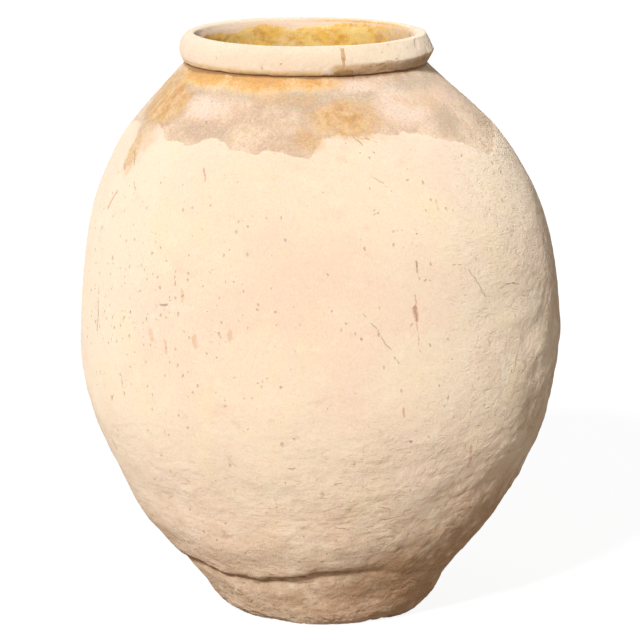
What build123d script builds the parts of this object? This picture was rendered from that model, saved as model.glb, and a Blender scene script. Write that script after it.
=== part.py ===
from build123d import *

import math
import os

# An olive jar: a big storage jar of pale fired clay, built up in courses of coiled clay on a round
# floor slab, with a rolled collar at the mouth. A honey-coloured lead glaze lines the inside, stands
# in the crevice under the collar, is left in patches on the shoulder and runs down the collar.
# Lengths are in millimetres. +Z is up, and the origin is on the ground below the middle of the belly.
# The side that faces -Y is the front. The mouth stands a little to -X of the belly and the foot a
# little to +X, because the jar was built by hand.

# Whole jar
jar_height = 780.0
belly_height = 382.0
belly_radius = 321.0
foot_radius = 121.0
throat_radius = 144.0
wall_thickness = 18.0
mouth_lean = 19.5
foot_lean = 5.0

# Rolled collar
collar_height = 38.0
collar_reach = 27.0
collar_bulge_height = 15.0
collar_overhang = 3.0
collar_tuck = 1.5
crest_width = 12.0
lip_round = 4.0
roll_fullness_share = 0.68

# Floor slab, with a tapered edge that the foot course laps
slab_thickness = 24.0
slab_lap = 23.0
slab_taper = 12.0

# Courses of the wall and the luted joints between them
foot_course_height = 68.0
neck_course_height = 44.0
neck_seat_width = 16.0
lute = 0.2
crease_depth = 4.0
crease_width = 12.0

# Glaze
glaze_thickness = 1.2
glaze_fit = 0.2
lip_to_glaze = 11.0
neck_glaze_width = 18.0
run_width = 10.0
run_start_drop = 3.0
run_pool_width = 26.0
run_pool_height = 13.0
patch_width = 112.0
patch_height = 56.0
patch_drop = 12.0

# How far a cut runs past what it cuts
overrun = 20.0

# The outside of the wall from the ground to the belly, as shares of the belly's height, of the way
# from the foot's radius to the belly's, and of the foot's lean
lower_outline_shares = (
    (0.000, 0.000, 1.00),
    (0.024, 0.065, 1.00),
    (0.063, 0.135, 0.95),
    (0.115, 0.207, 0.80),
    (0.178, 0.300, 0.45),
    (0.262, 0.444, 0.00),
    (0.366, 0.604, 0.00),
    (0.484, 0.732, 0.00),
    (0.628, 0.864, 0.00),
    (0.785, 0.955, 0.00),
    (1.000, 1.000, 0.00),
)
# The same from the belly to the neck, as shares of that height, of the way from the neck's radius to
# the belly's, and of the mouth's lean
upper_outline_shares = (
    (0.188, 0.975, 0.03),
    (0.355, 0.928, 0.08),
    (0.493, 0.843, 0.20),
    (0.632, 0.702, 0.41),
    (0.742, 0.547, 0.57),
    (0.853, 0.327, 0.76),
    (0.936, 0.138, 0.92),
    (1.000, 0.000, 1.00),
)
# The courses between the foot course and the neck course, and the top of each as a share of the way up
course_names = ("lower_wall", "belly_lower_wall", "belly_upper_wall", "shoulder_wall")
course_top_shares = (0.23, 0.49, 0.76, 1.00)

# Directions in degrees from +X: where each stretch of the neck glaze starts and ends, the middle of
# each patch on the shoulder, and the run down the collar
neck_glaze_angles = ((188.0, 282.0), (20.0, 66.0), (104.0, 131.0))
patch_angles = (208.0, 278.0, 78.0)
run_angle = 287.0
# The drop, width and height of each patch, as shares of the largest one's
patch_size_shares = ((1.00, 1.00, 1.00), (1.00, 0.80, 0.71), (0.83, 0.79, 0.86))

# Sizes that follow from those above
neck_height = jar_height - collar_height
neck_radius = throat_radius + neck_seat_width
neck_joint_height = neck_height - neck_course_height
collar_seat_height = neck_height + lute
collar_foot_radius = neck_radius + collar_overhang
slab_radius = foot_radius - slab_lap
solid_reach = belly_radius + overrun


def outline():
    """The outside of the wall, as (height, radius, centre's x) from the ground up to the neck."""
    lower = [
        (h * belly_height, foot_radius + r * (belly_radius - foot_radius), lean * foot_lean)
        for h, r, lean in lower_outline_shares
    ]
    rise = neck_height - belly_height
    upper = [
        (belly_height + h * rise, neck_radius + r * (belly_radius - neck_radius), -lean * mouth_lean)
        for h, r, lean in upper_outline_shares
    ]
    return lower + upper


def slopes(stations):
    """The unit (rise, spread) of the surface at each station, from the stations on either side."""
    last = len(stations) - 1
    found = []
    for i in range(last + 1):
        below = stations[max(i - 1, 0)]
        above = stations[min(i + 1, last)]
        slant = math.hypot(above[0] - below[0], above[1] - below[1])
        found.append(((above[0] - below[0]) / slant, (above[1] - below[1]) / slant))
    return found


def inner_outline():
    """The inside of the wall: the outline moved inwards square to the surface, and on to the throat."""
    stations = outline()
    moved = [
        (height + wall_thickness * spread, radius - wall_thickness * rise, centre)
        for (height, radius, centre), (rise, spread) in zip(stations, slopes(stations))
    ]
    return moved + [(neck_height, throat_radius, -mouth_lean)]


def turned(stations, growth=0.0):
    """The solid inside the stations, after its surface has moved out by growth at the same heights."""
    grown = [radius + growth / rise for (_, radius, _), (rise, _) in zip(stations, slopes(stations))]
    return loft([Pos(x, 0, z) * Circle(r) for (z, _, x), r in zip(stations, grown)])


def wall_at(height):
    """The wall's radius, its centre's x and its flare (radius gained per height) at a height."""
    stations = outline()
    for low, high in zip(stations, stations[1:]):
        if height <= high[0]:
            break
    flare = (high[1] - low[1]) / (high[0] - low[0])
    lean = (high[2] - low[2]) / (high[0] - low[0])
    rise = height - low[0]
    return low[1] + rise * flare, low[2] + rise * lean, flare


def upright(radius, low, high, centre=0.0):
    """An upright cylinder between two heights."""
    return Pos(centre, 0, (low + high) / 2) * Cylinder(radius, high - low)


def spun(points, centre):
    """A solid turned from a closed section of (radius, height) points."""
    section = Plane.XZ * make_face(Polyline(*points, close=True))
    return Pos(centre, 0, 0) * revolve(section, Axis.Z)


def hollow(clearance):
    """The jar's inside, kept off the clay by clearance: the floor, the belly and the throat."""
    stations = inner_outline()
    belly = turned(stations, -clearance)
    throat_rise = slopes(stations)[-1][0]
    bore_radius = throat_radius - clearance / throat_rise
    throat = upright(bore_radius, neck_height, jar_height + overrun, -mouth_lean)
    return belly + throat - upright(solid_reach, -overrun, slab_thickness + clearance)


def base_slab(clearance):
    """The round floor slab, wider at its top, grown at its edge by clearance."""
    slab = Cone(slab_radius + clearance, slab_radius + slab_taper + clearance, slab_thickness)
    return Pos(foot_lean, 0, slab_thickness / 2) * slab


def below_joint(height, gap=0.0):
    """All that lies under the joint whose outer edge is at this height, cut square to the wall."""
    edge, centre, flare = wall_at(height)
    section = [
        (0, -solid_reach),
        (solid_reach, -solid_reach),
        (solid_reach, height + gap + (edge - solid_reach) * flare),
        (0, height + gap + edge * flare),
    ]
    return spun(section, centre)


def crease():
    """The groove round the outside, with its bottom in the joint on top of the foot course."""
    edge, centre, flare = wall_at(foot_course_height)
    outwards = Vector(1, -flare).normalized()
    upwards = Vector(flare, 1).normalized()
    bottom = Vector(edge, foot_course_height + lute / 2) - outwards * crease_depth
    widening = 1 + overrun / crease_depth
    upper = bottom + (outwards * crease_depth + upwards * (crease_width / 2)) * widening
    lower = bottom + (outwards * crease_depth - upwards * (crease_width / 2)) * widening
    return spun([bottom, upper, lower], centre)


def courses():
    """The clay wall, parted along its luted joints into the courses that the potter stacked."""
    rest = turned(outline()) - hollow(0) - base_slab(lute) - crease()
    made = {"foot_course": rest & below_joint(foot_course_height)}
    rest = rest - below_joint(foot_course_height, lute)
    for name, share in zip(course_names, course_top_shares):
        top = foot_course_height + share * (neck_joint_height - foot_course_height)
        made[name] = rest & below_joint(top)
        rest = rest - below_joint(top, lute)
    made["neck_course"] = rest
    return made


def collar_section():
    """The collar's section in the XZ plane: a rolled coil with a narrow crest and a tucked-in foot."""
    bulge_height = collar_seat_height + collar_bulge_height
    bulge_radius = throat_radius + collar_reach
    crest_radius = throat_radius + lip_round + crest_width
    bore = Line((throat_radius, collar_seat_height), (throat_radius, jar_height - lip_round))
    lip = JernArc(bore @ 1, (0, 1), lip_round, -90)
    crest = Line(lip @ 1, (crest_radius, jar_height))
    upper_roll = ThreePointArc(
        crest @ 1,
        (
            crest_radius + roll_fullness_share * (bulge_radius - crest_radius),
            bulge_height + roll_fullness_share * (jar_height - bulge_height),
        ),
        (bulge_radius, bulge_height),
    )
    lower_roll = ThreePointArc(
        upper_roll @ 1,
        (bulge_radius - collar_tuck, (collar_seat_height + bulge_height) / 2),
        (collar_foot_radius, collar_seat_height),
    )
    seat = Line(lower_roll @ 1, bore @ 0)
    return make_face([bore, lip, crest, upper_roll, lower_roll, seat])


def rim_collar(growth=0.0):
    """The collar, turned about the mouth's axis, with its whole surface moved out by growth."""
    section = collar_section()
    if growth > 0:
        section = offset(section, amount=growth)
    return Pos(-mouth_lean, 0, 0) * revolve(Plane.XZ * section, Axis.Z)


def interior_glaze():
    """The glaze lining: over the floor, up the wall and through the throat, to just under the lip."""
    lining = hollow(glaze_fit) - hollow(glaze_fit + glaze_thickness)
    return lining - upright(solid_reach, jar_height - lip_to_glaze, jar_height + 2 * overrun)


def wall_film():
    """A film of glaze over the whole outside of the wall, from which its patches are cut."""
    return turned(outline(), glaze_fit + glaze_thickness) - turned(outline(), glaze_fit)


def neck_glaze(film):
    """The stretches of amber glaze that stand in the crevice under the collar."""
    top = neck_height - glaze_fit
    band = Plane.XZ * Pos(solid_reach / 2, top - neck_glaze_width / 2) * Rectangle(solid_reach, neck_glaze_width)
    stretches = []
    for start, end in neck_glaze_angles:
        wedge = Pos(-mouth_lean, 0, 0) * Rot(0, 0, start) * revolve(band, Axis.Z, revolution_arc=end - start)
        stretches += (film & wedge).solids()
    return Compound(children=stretches)


def shoulder_glaze(film):
    """The worn patches of glaze on the shoulder, each an oval when seen square to the jar's axis."""
    top = neck_height - neck_glaze_width
    patches = []
    for angle, (drop_share, width_share, height_share) in zip(patch_angles, patch_size_shares):
        half_height = height_share * patch_height / 2
        oval = extrude(Plane.YZ * Ellipse(width_share * patch_width / 2, half_height), solid_reach)
        cutter = Rot(0, 0, angle) * Pos(0, 0, top - drop_share * patch_drop - half_height) * oval
        patches += (film & cutter).solids()
    return Compound(children=patches)


def collar_glaze_run():
    """The run of glaze down the outside of the collar, and the pool that it ends in at the foot."""
    film = rim_collar(glaze_fit + glaze_thickness) - rim_collar(glaze_fit)
    low = collar_seat_height + glaze_fit
    run_height = jar_height - run_start_drop - low
    run = Pos(solid_reach / 2, 0, low + run_height / 2) * Box(solid_reach, run_width, run_height)
    pool = Pos(solid_reach / 2, 0, low + run_pool_height / 2) * Box(solid_reach, run_pool_width, run_pool_height)
    cutter = Pos(-mouth_lean, 0, 0) * Rot(0, 0, run_angle) * (run + pool)
    bore = upright(throat_radius + lip_round, neck_height, jar_height + overrun, -mouth_lean)
    return (film & cutter) - bore


def main():
    """Builds every piece and writes each one to its own file."""
    os.makedirs("parts", exist_ok=True)
    film = wall_film()
    pieces = {
        "base_slab": base_slab(0),
        **courses(),
        "rim_collar": rim_collar(),
        "interior_glaze": interior_glaze(),
        "neck_glaze": neck_glaze(film),
        "shoulder_glaze": shoulder_glaze(film),
        "collar_glaze_run": collar_glaze_run(),
    }
    for name, piece in pieces.items():
        export_step(piece, f"parts/{name}.step")


if __name__ == "__main__":
    main()
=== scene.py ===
import logging
import math
from collections.abc import Callable, Sequence
from dataclasses import dataclass, field
from enum import Enum
from functools import reduce

import bmesh
import bpy
import numpy as np
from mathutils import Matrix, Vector


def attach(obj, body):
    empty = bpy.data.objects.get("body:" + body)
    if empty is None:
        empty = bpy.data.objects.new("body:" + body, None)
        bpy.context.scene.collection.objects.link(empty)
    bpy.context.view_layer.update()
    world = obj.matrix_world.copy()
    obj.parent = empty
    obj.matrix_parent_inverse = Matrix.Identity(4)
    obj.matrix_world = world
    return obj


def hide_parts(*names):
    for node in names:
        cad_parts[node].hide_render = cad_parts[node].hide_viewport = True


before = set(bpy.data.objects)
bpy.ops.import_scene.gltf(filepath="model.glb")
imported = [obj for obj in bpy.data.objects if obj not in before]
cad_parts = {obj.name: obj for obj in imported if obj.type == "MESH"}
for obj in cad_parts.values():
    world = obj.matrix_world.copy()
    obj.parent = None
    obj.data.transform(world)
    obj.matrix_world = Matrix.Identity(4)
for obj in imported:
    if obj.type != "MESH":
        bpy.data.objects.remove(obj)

log = logging.getLogger("olive_jar")

MM = 0.001
BODY = "root"
TURN_STEPS = 60
WHITE = (1.0, 1.0, 1.0)
FLAT = (1, 1, 0)

Colour = tuple[float, float, float]
Range = tuple[float, ...]
Numbers = np.ndarray


class Slot(Enum):
    """The record's material slots."""

    FIRED_CLAY = "fired_clay"
    HONEY_GLAZE = "honey_glaze"
    WORN_GLAZE = "worn_glaze"


class Trace(Enum):
    """What is painted on a surface point by point, and the name of the attribute that holds it."""

    COAT = "coat"
    AMBER = "amber"
    OCHRE = "ochre"
    ROSE = "rose"
    ASH = "ash"
    PITS = "pits"
    # Where painted shade darkens the relief's hollows, the foot's groove and the crevice under the collar
    HOLLOW = "hollow"
    FILM = "film"
    BARE = "bare"
    # Real soot, and painted shade on the right side, round the foot, on the collar's shaded facet and
    # underside and on the left inner wall
    SOOT_AND_SHADE = "soot"


class MarkKind(Enum):
    """The kinds of thin mark on the clay, and the name of each one's colour."""

    CRACK = "crack"
    SCRATCH = "scratch"
    FLAKE = "flake"
    RUST = "rust"


# Small tools


def eased(value: Numbers, low: float | Numbers, high: float | Numbers) -> Numbers:
    """Goes smoothly from 0 at low to 1 at high. Low may lie above high."""
    share = np.clip((value - low) / (high - low), 0, 1)
    return share * share * (3 - 2 * share)


def apart(azimuth: Numbers, middle: float) -> Numbers:
    """Gives how far directions lie from a middle one, in degrees from -180 to 180."""
    return (azimuth - middle + 180) % 360 - 180


def bell(distance: Numbers, width: float) -> Numbers:
    """Gives 1 at no distance, and less the further a place is off, with nearly 0 at twice the width."""
    return np.exp(-((distance / width) ** 2))


def ringed(azimuth: Numbers, radius: Numbers, height: Numbers, shift: float | Numbers = 0.0) -> Numbers:
    """Gives points round the upright axis, one to a row, moved sideways by a shift."""
    turn = np.radians(azimuth)
    return np.stack([radius * np.sin(turn) + shift, -radius * np.cos(turn), height], axis=1)


def round_table(azimuth: Numbers, rows: Sequence[tuple[float, ...]], column: int = 1) -> Numbers:
    """Reads one column of a table that goes once round the jar, in each direction.

    Args:
        azimuth: Directions in degrees from the front, positive to the right.
        rows: Rows that start with an azimuth.
        column: The column to read.

    Returns:
        The column's value in each direction.
    """
    table = np.array(rows, float)
    return np.interp(azimuth, table[:, 0], table[:, column], period=360)


def smooth_curve(knots: Numbers, values: Numbers, at: Numbers) -> Numbers:
    """Reads the natural cubic curve that runs through some knots.

    Args:
        knots: Rising positions.
        values: The curve's value at each knot.
        at: Positions to read the curve at.

    Returns:
        The curve's value at each position.
    """
    gap = np.diff(knots)
    rise = np.diff(values) / gap
    system = np.eye(len(knots))
    right = np.zeros(len(knots))
    for i in range(1, len(knots) - 1):
        system[i, i - 1 : i + 2] = gap[i - 1], 2 * (gap[i - 1] + gap[i]), gap[i]
        right[i] = 6 * (rise[i] - rise[i - 1])
    bend = np.linalg.solve(system, right)
    i = np.clip(np.searchsorted(knots, at) - 1, 0, len(knots) - 2)
    down, up = (knots[i + 1] - at) / gap[i], (at - knots[i]) / gap[i]
    sag = ((down**3 - down) * bend[i] + (up**3 - up) * bend[i + 1]) * gap[i] ** 2 / 6
    return down * values[i] + up * values[i + 1] + sag


def arc_through(first: Vector, middle: Vector, last: Vector, count: int) -> list[Vector]:
    """Sets out points along the arc through three points of a plane.

    Args:
        first: Where the arc starts.
        middle: A point on the arc.
        last: Where the arc ends.
        count: How many steps the arc is divided into.

    Returns:
        The points from first to last.
    """
    chord, lean = last - first, middle - first
    square = Vector((-lean.y, lean.x)) * chord.length_squared
    square -= Vector((-chord.y, chord.x)) * lean.length_squared
    centre = first + square / (-2 * chord.cross(lean))
    start = first - centre
    sweep = start.angle_signed(last - centre)
    turned = []
    for i in range(count + 1):
        angle = -sweep * i / count
        cosine, sine = math.cos(angle), math.sin(angle)
        turned.append(centre + Vector((start.x * cosine - start.y * sine, start.x * sine + start.y * cosine)))
    return turned


def stations(radii: Sequence[float], heights: Sequence[float]) -> list[Vector]:
    """Gives a section's points from their radii and heights."""
    return [Vector(point) for point in zip(radii, heights)]


class ClayNoise:
    """Smooth seeded noise in space, for what hands and weather leave on clay."""

    def __init__(self, seed: int) -> None:
        """Draws the noise's table from a seed.

        Args:
            seed: The seed.
        """
        source = np.random.default_rng(seed)
        self.order = np.tile(source.permutation(256), 3)
        slants = source.normal(size=(256, 3))
        self.slants = slants / np.linalg.norm(slants, axis=1)[:, None]

    def at(self, places: Numbers, across: float, up: float | None = None) -> Numbers:
        """Reads the noise.

        Args:
            places: Points in metres, one to a row.
            across: The width of one lump, in metres.
            up: Its height. Without it, the lump is as high as it is wide.

        Returns:
            A value from about -1 to 1 at each point.
        """
        scaled = places / np.array((across, across, up or across))
        cell = np.floor(scaled).astype(int)
        share = scaled - cell
        ease = share**3 * (share * (share * 6 - 15) + 10)
        total = np.zeros(len(places))
        for corner in np.ndindex(2, 2, 2):
            x, y, z = ((cell + corner) & 255).T
            slant = self.slants[self.order[self.order[self.order[x] + y] + z]]
            weight = np.where(corner, ease, 1 - ease).prod(axis=1)
            total += weight * (slant * (share - corner)).sum(axis=1)
        return total * 1.7

    def rough(self, places: Numbers, across: float, up: float | None = None, layers: int = 3) -> Numbers:
        """Reads layers of the noise, each half the size and half the height of the last.

        Args:
            places: Points in metres, one to a row.
            across: The width of the largest lump, in metres.
            up: Its height. Without it, the lump is as high as it is wide.
            layers: How many layers are added.

        Returns:
            A value from about -1.5 to 1.5 at each point.
        """
        up = up or across
        return sum(self.at(places + 0.37 * i, across / 2**i, up / 2**i) / 2**i for i in range(layers))


# Meshes


@dataclass
class SpunMesh:
    """A mesh turned from a section.

    Attributes:
        mesh: The mesh.
        rows: The number of each vertex's point in the section.
        azimuths: Each vertex's direction in degrees from the front.
        radii: The radius of each vertex's point in the section.
        heights: The height of each vertex's point in the section.
    """

    mesh: bpy.types.Mesh
    rows: Numbers
    azimuths: Numbers
    radii: Numbers
    heights: Numbers

    def crease(self, rows: Sequence[int]) -> None:
        """Marks the ring edges of some rows as sharp.

        Args:
            rows: The rows' numbers.
        """
        ends = np.zeros(len(self.mesh.edges) * 2, np.int32)
        self.mesh.edges.foreach_get("vertices", ends)
        ends = self.rows[ends.reshape(-1, 2)]
        sharp = (ends[:, 0] == ends[:, 1]) & np.isin(ends[:, 0], rows)
        attributes = self.mesh.attributes
        kept = attributes.get("sharp_edge") or attributes.new("sharp_edge", "BOOLEAN", "EDGE")
        kept.data.foreach_set("value", sharp)

    def move(self, places: Numbers) -> None:
        """Moves the vertices to the places in an array, one to a row."""
        self.mesh.vertices.foreach_set("co", places.astype(np.float32).ravel())
        self.mesh.update()

    def write(self, trace: Trace, values: Numbers) -> None:
        """Keeps a number at each vertex for the material to read."""
        kept = self.mesh.attributes.new(trace.value, "FLOAT", "POINT")
        kept.data.foreach_set("value", values.astype(np.float32))


def finished_mesh(name: str, shell: bmesh.types.BMesh) -> bpy.types.Mesh:
    """Turns a modelled shell into a smooth mesh with its faces outwards, and frees the shell.

    Args:
        name: The mesh's name.
        shell: The modelled shell.

    Returns:
        The mesh.
    """
    bmesh.ops.recalc_face_normals(shell, faces=shell.faces[:])
    mesh = bpy.data.meshes.new(name)
    shell.to_mesh(mesh)
    shell.free()
    mesh.shade_smooth()
    return mesh


def read_places(mesh: bpy.types.Mesh) -> Numbers:
    """Gives a mesh's vertices as an array, one to a row.

    Args:
        mesh: The mesh.

    Returns:
        The vertices' places in metres.
    """
    places = np.zeros(len(mesh.vertices) * 3, np.float32)
    mesh.vertices.foreach_get("co", places)
    return places.reshape(-1, 3).astype(float)


def spin_section(name: str, section: Sequence[Vector], cuts: int, closed: bool = True) -> SpunMesh:
    """Turns a section about the upright axis into a closed mesh with its faces outwards.

    Args:
        name: The mesh's name.
        section: Points as (radius, height), in order.
        cuts: How many cuts divide each of the turn's steps.
        closed: Whether the section's last point joins its first. Otherwise both lie on the axis.

    Returns:
        The mesh, with the row and azimuth of each vertex.
    """
    shell = bmesh.new()
    layer = shell.verts.layers.float.new("row")
    points = [shell.verts.new((0, -point.x, point.y)) for point in section]
    for row, point in enumerate(points):
        point[layer] = row
    pairs = list(zip(points, points[1:])) + ([(points[-1], points[0])] if closed else [])
    edges = [shell.edges.new(pair) for pair in pairs]
    turn = {"cent": (0, 0, 0), "axis": (0, 0, 1), "angle": 2 * math.pi, "steps": TURN_STEPS}
    ways = {"dvec": (0, 0, 0), "use_merge": True, "use_normal_flip": False, "use_duplicate": False}
    bmesh.ops.spin(shell, geom=points + edges, **turn, **ways)
    rings = [edge for edge in shell.edges if edge.verts[0][layer] == edge.verts[1][layer]]
    bmesh.ops.subdivide_edges(shell, edges=rings, cuts=cuts, use_grid_fill=True)
    if not closed:
        poles = [vertex for vertex in shell.verts if math.hypot(vertex.co.x, vertex.co.y) < 0.01 * MM]
        bmesh.ops.remove_doubles(shell, verts=poles, dist=0.05 * MM)
    mesh = finished_mesh(name, shell)
    rows = np.zeros(len(mesh.vertices), np.float32)
    mesh.attributes["row"].data.foreach_get("value", rows)
    mesh.attributes.remove(mesh.attributes["row"])
    rows = np.rint(rows).astype(int)
    places = read_places(mesh)
    radii, heights = np.array([tuple(point) for point in section])[rows].T
    return SpunMesh(mesh, rows, np.degrees(np.arctan2(places[:, 0], -places[:, 1])), radii, heights)


def add_object(name: str, data: bpy.types.ID) -> bpy.types.Object:
    """Puts an object in the scene.

    Args:
        name: The object's name.
        data: The mesh, camera or light that it shows.

    Returns:
        The object.
    """
    made = bpy.data.objects.new(name, data)
    bpy.context.scene.collection.objects.link(made)
    return made


def place_piece(mesh: bpy.types.Mesh, material: bpy.types.Material, node: str) -> None:
    """Puts a finished mesh in the scene for the node that it stands for.

    Args:
        mesh: The mesh, in the row's frame, which gives the piece its name.
        material: Its finish.
        node: The node that it replaces.
    """
    mesh.materials.append(material)
    piece = add_object(mesh.name, mesh)
    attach(piece, BODY)
    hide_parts(node)
    mesh.calc_loop_triangles()
    log.info("%s stands for %s, with %d triangles", piece.name, node, len(mesh.loop_triangles))


# Shader nodes


@dataclass(frozen=True)
class Wire:
    """What one output of a node gives. A sum with a wire in it adds the node that does the sum."""

    bench: "NodeBench"
    socket: bpy.types.NodeSocket

    def out(self, name: str | int) -> "Wire":
        """Gives another output of the same node."""
        return Wire(self.bench, self.socket.node.outputs[name])

    def __add__(self, other: "Feed") -> "Wire":
        """Adds."""
        return self.bench.sum("ADD", self, other)

    def __sub__(self, other: "Feed") -> "Wire":
        """Takes something away."""
        return self.bench.sum("SUBTRACT", self, other)

    def __rsub__(self, other: "Feed") -> "Wire":
        """Takes the wire away from a number."""
        return self.bench.sum("SUBTRACT", other, self)

    def __mul__(self, other: "Feed") -> "Wire":
        """Multiplies."""
        return self.bench.sum("MULTIPLY", self, other)

    def largest(self, other: "Feed") -> "Wire":
        """Gives the larger of two values."""
        return self.bench.sum("MAXIMUM", self, other)


Feed = Wire | float | Sequence[float]
Feeds = dict[str | int, Feed]


class NodeBench:
    """Sets out and joins the nodes of one material, world or node group."""

    def __init__(self, tree: bpy.types.NodeTree) -> None:
        """Clears the tree and takes it on."""
        self.tree = tree
        tree.nodes.clear()

    def add(self, kind: str, feeds: Feeds | None = None, **settings: object) -> bpy.types.Node:
        """Adds a node.

        Args:
            kind: The node's type name.
            feeds: What goes into its inputs, by name or number: a wire or a value.
            **settings: The node's own settings.

        Returns:
            The node.
        """
        count = len(self.tree.nodes)
        made = self.tree.nodes.new(kind)
        made.location = (220 * (count // 7), -190 * (count % 7))
        for name, value in settings.items():
            setattr(made, name, value)
        for name, value in (feeds or {}).items():
            self.feed(made.inputs[name], value)
        return made

    def node(self, kind: str, feeds: Feeds, output: str | int = 0, **settings: object) -> Wire:
        """Adds a node and gives one of its outputs."""
        return Wire(self, self.add(kind, feeds, **settings).outputs[output])

    def feed(self, socket: bpy.types.NodeSocket, value: Feed) -> None:
        """Joins a wire to an input, or sets the input's value.

        Args:
            socket: The input.
            value: The wire or value.
        """
        if isinstance(value, Wire):
            self.tree.links.new(value.socket, socket)
        elif socket.type == "RGBA" and len(value) == 3:
            socket.default_value = (*value, 1.0)
        else:
            socket.default_value = value

    def sum(self, operation: str, first: Feed, second: Feed, clamp: bool = False) -> Wire:
        """Does one sum on two numbers, held between 0 and 1 if it is clamped."""
        return self.node("ShaderNodeMath", {0: first, 1: second}, operation=operation, use_clamp=clamp)

    def vectors(self, operation: str, *feeds: Feed) -> Wire:
        """Does one sum on vectors."""
        output = "Value" if operation in ("DOT_PRODUCT", "LENGTH") else "Vector"
        return self.node("ShaderNodeVectorMath", dict(enumerate(feeds)), output, operation=operation)

    def scaled(self, vector: Wire, share: Feed) -> Wire:
        """Multiplies a vector by a number."""
        return self.node("ShaderNodeVectorMath", {0: vector, "Scale": share}, operation="SCALE")

    def spread(self, value: Wire, low: float, high: float, top: float = 1.0) -> Wire:
        """Eases a value from 0 at low to top at high. Low may lie above high.

        Args:
            value: The value.
            low: Where it is 0.
            high: Where it reaches top.
            top: The value that it reaches.

        Returns:
            The eased value.
        """
        ends = {"From Min": low, "From Max": high, "To Min": 0.0, "To Max": top}
        if low > high:
            ends = {"From Min": high, "From Max": low, "To Min": top, "To Max": 0.0}
        return self.node("ShaderNodeMapRange", {"Value": value, **ends}, interpolation_type="SMOOTHSTEP")

    def noise(self, place: Wire, size: float, detail: float = 3.0, roughness: float = 0.55) -> Wire:
        """Adds noise about 0.5 whose lumps have a given size.

        Args:
            place: Where the noise is read.
            size: The size of a lump, in metres.
            detail: How many finer layers it has.
            roughness: How strong the finer layers are.

        Returns:
            The noise.
        """
        return self.tints(place, 1 / size, detail, roughness).out("Fac")

    def tints(self, place: Wire, scale: Feed, detail: float, roughness: float = 0.5) -> Wire:
        """Adds noise of many colours, which also serves as a wobble of places."""
        feeds = {"Vector": place, "Scale": scale, "Detail": detail, "Roughness": roughness}
        return self.node("ShaderNodeTexNoise", feeds, "Color")

    def stretched(self, place: Wire, along: Range, shift: Range = (0, 0, 0)) -> Wire:
        """Makes a pattern longer along x, y and z, and shifts it."""
        shrunk = tuple(1 / share for share in along)
        return self.node("ShaderNodeMapping", {"Vector": place, "Location": shift, "Scale": shrunk})

    def blend(self, share: Feed, first: Feed, second: Feed, way: str = "MIX") -> Wire:
        """Lays a share of the second colour over the first."""
        feeds = {0: share, 6: first, 7: second}
        return self.node("ShaderNodeMix", feeds, 2, data_type="RGBA", blend_type=way)

    def trace(self, trace: Trace) -> Wire:
        """Reads what was painted on the surface point by point."""
        return self.node("ShaderNodeAttribute", {}, "Fac", attribute_name=trace.value)

    def group(self, group: bpy.types.NodeTree, **feeds: Feed) -> Wire:
        """Places a node group and gives its output."""
        named = {name.capitalize(): value for name, value in feeds.items()}
        return self.node("ShaderNodeGroup", named, node_tree=group)

    def surface(self, bump: dict[str, Feed], **feeds: Feed) -> None:
        """Ends a material with one plain shader.

        Args:
            bump: The bump's Height, Distance and Strength.
            **feeds: The shader's inputs, such as Base_Color and Roughness.
        """
        named = {name.replace("_", " "): value for name, value in feeds.items()}
        named["Normal"] = self.node("ShaderNodeBump", bump)
        shader = self.node("ShaderNodeBsdfPrincipled", named)
        self.add("ShaderNodeOutputMaterial", {"Surface": shader})


def new_finish(name: str) -> tuple[bpy.types.Material, NodeBench, Wire]:
    """Starts a material, and gives it with its bench and the surface's place.

    Args:
        name: The material's name.

    Returns:
        The material, its bench and the surface's place.
    """
    made = bpy.data.materials.new(name)
    made.use_nodes = True
    bench = NodeBench(made.node_tree)
    return made, bench, bench.node("ShaderNodeTexCoord", {}, "Object")


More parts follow.
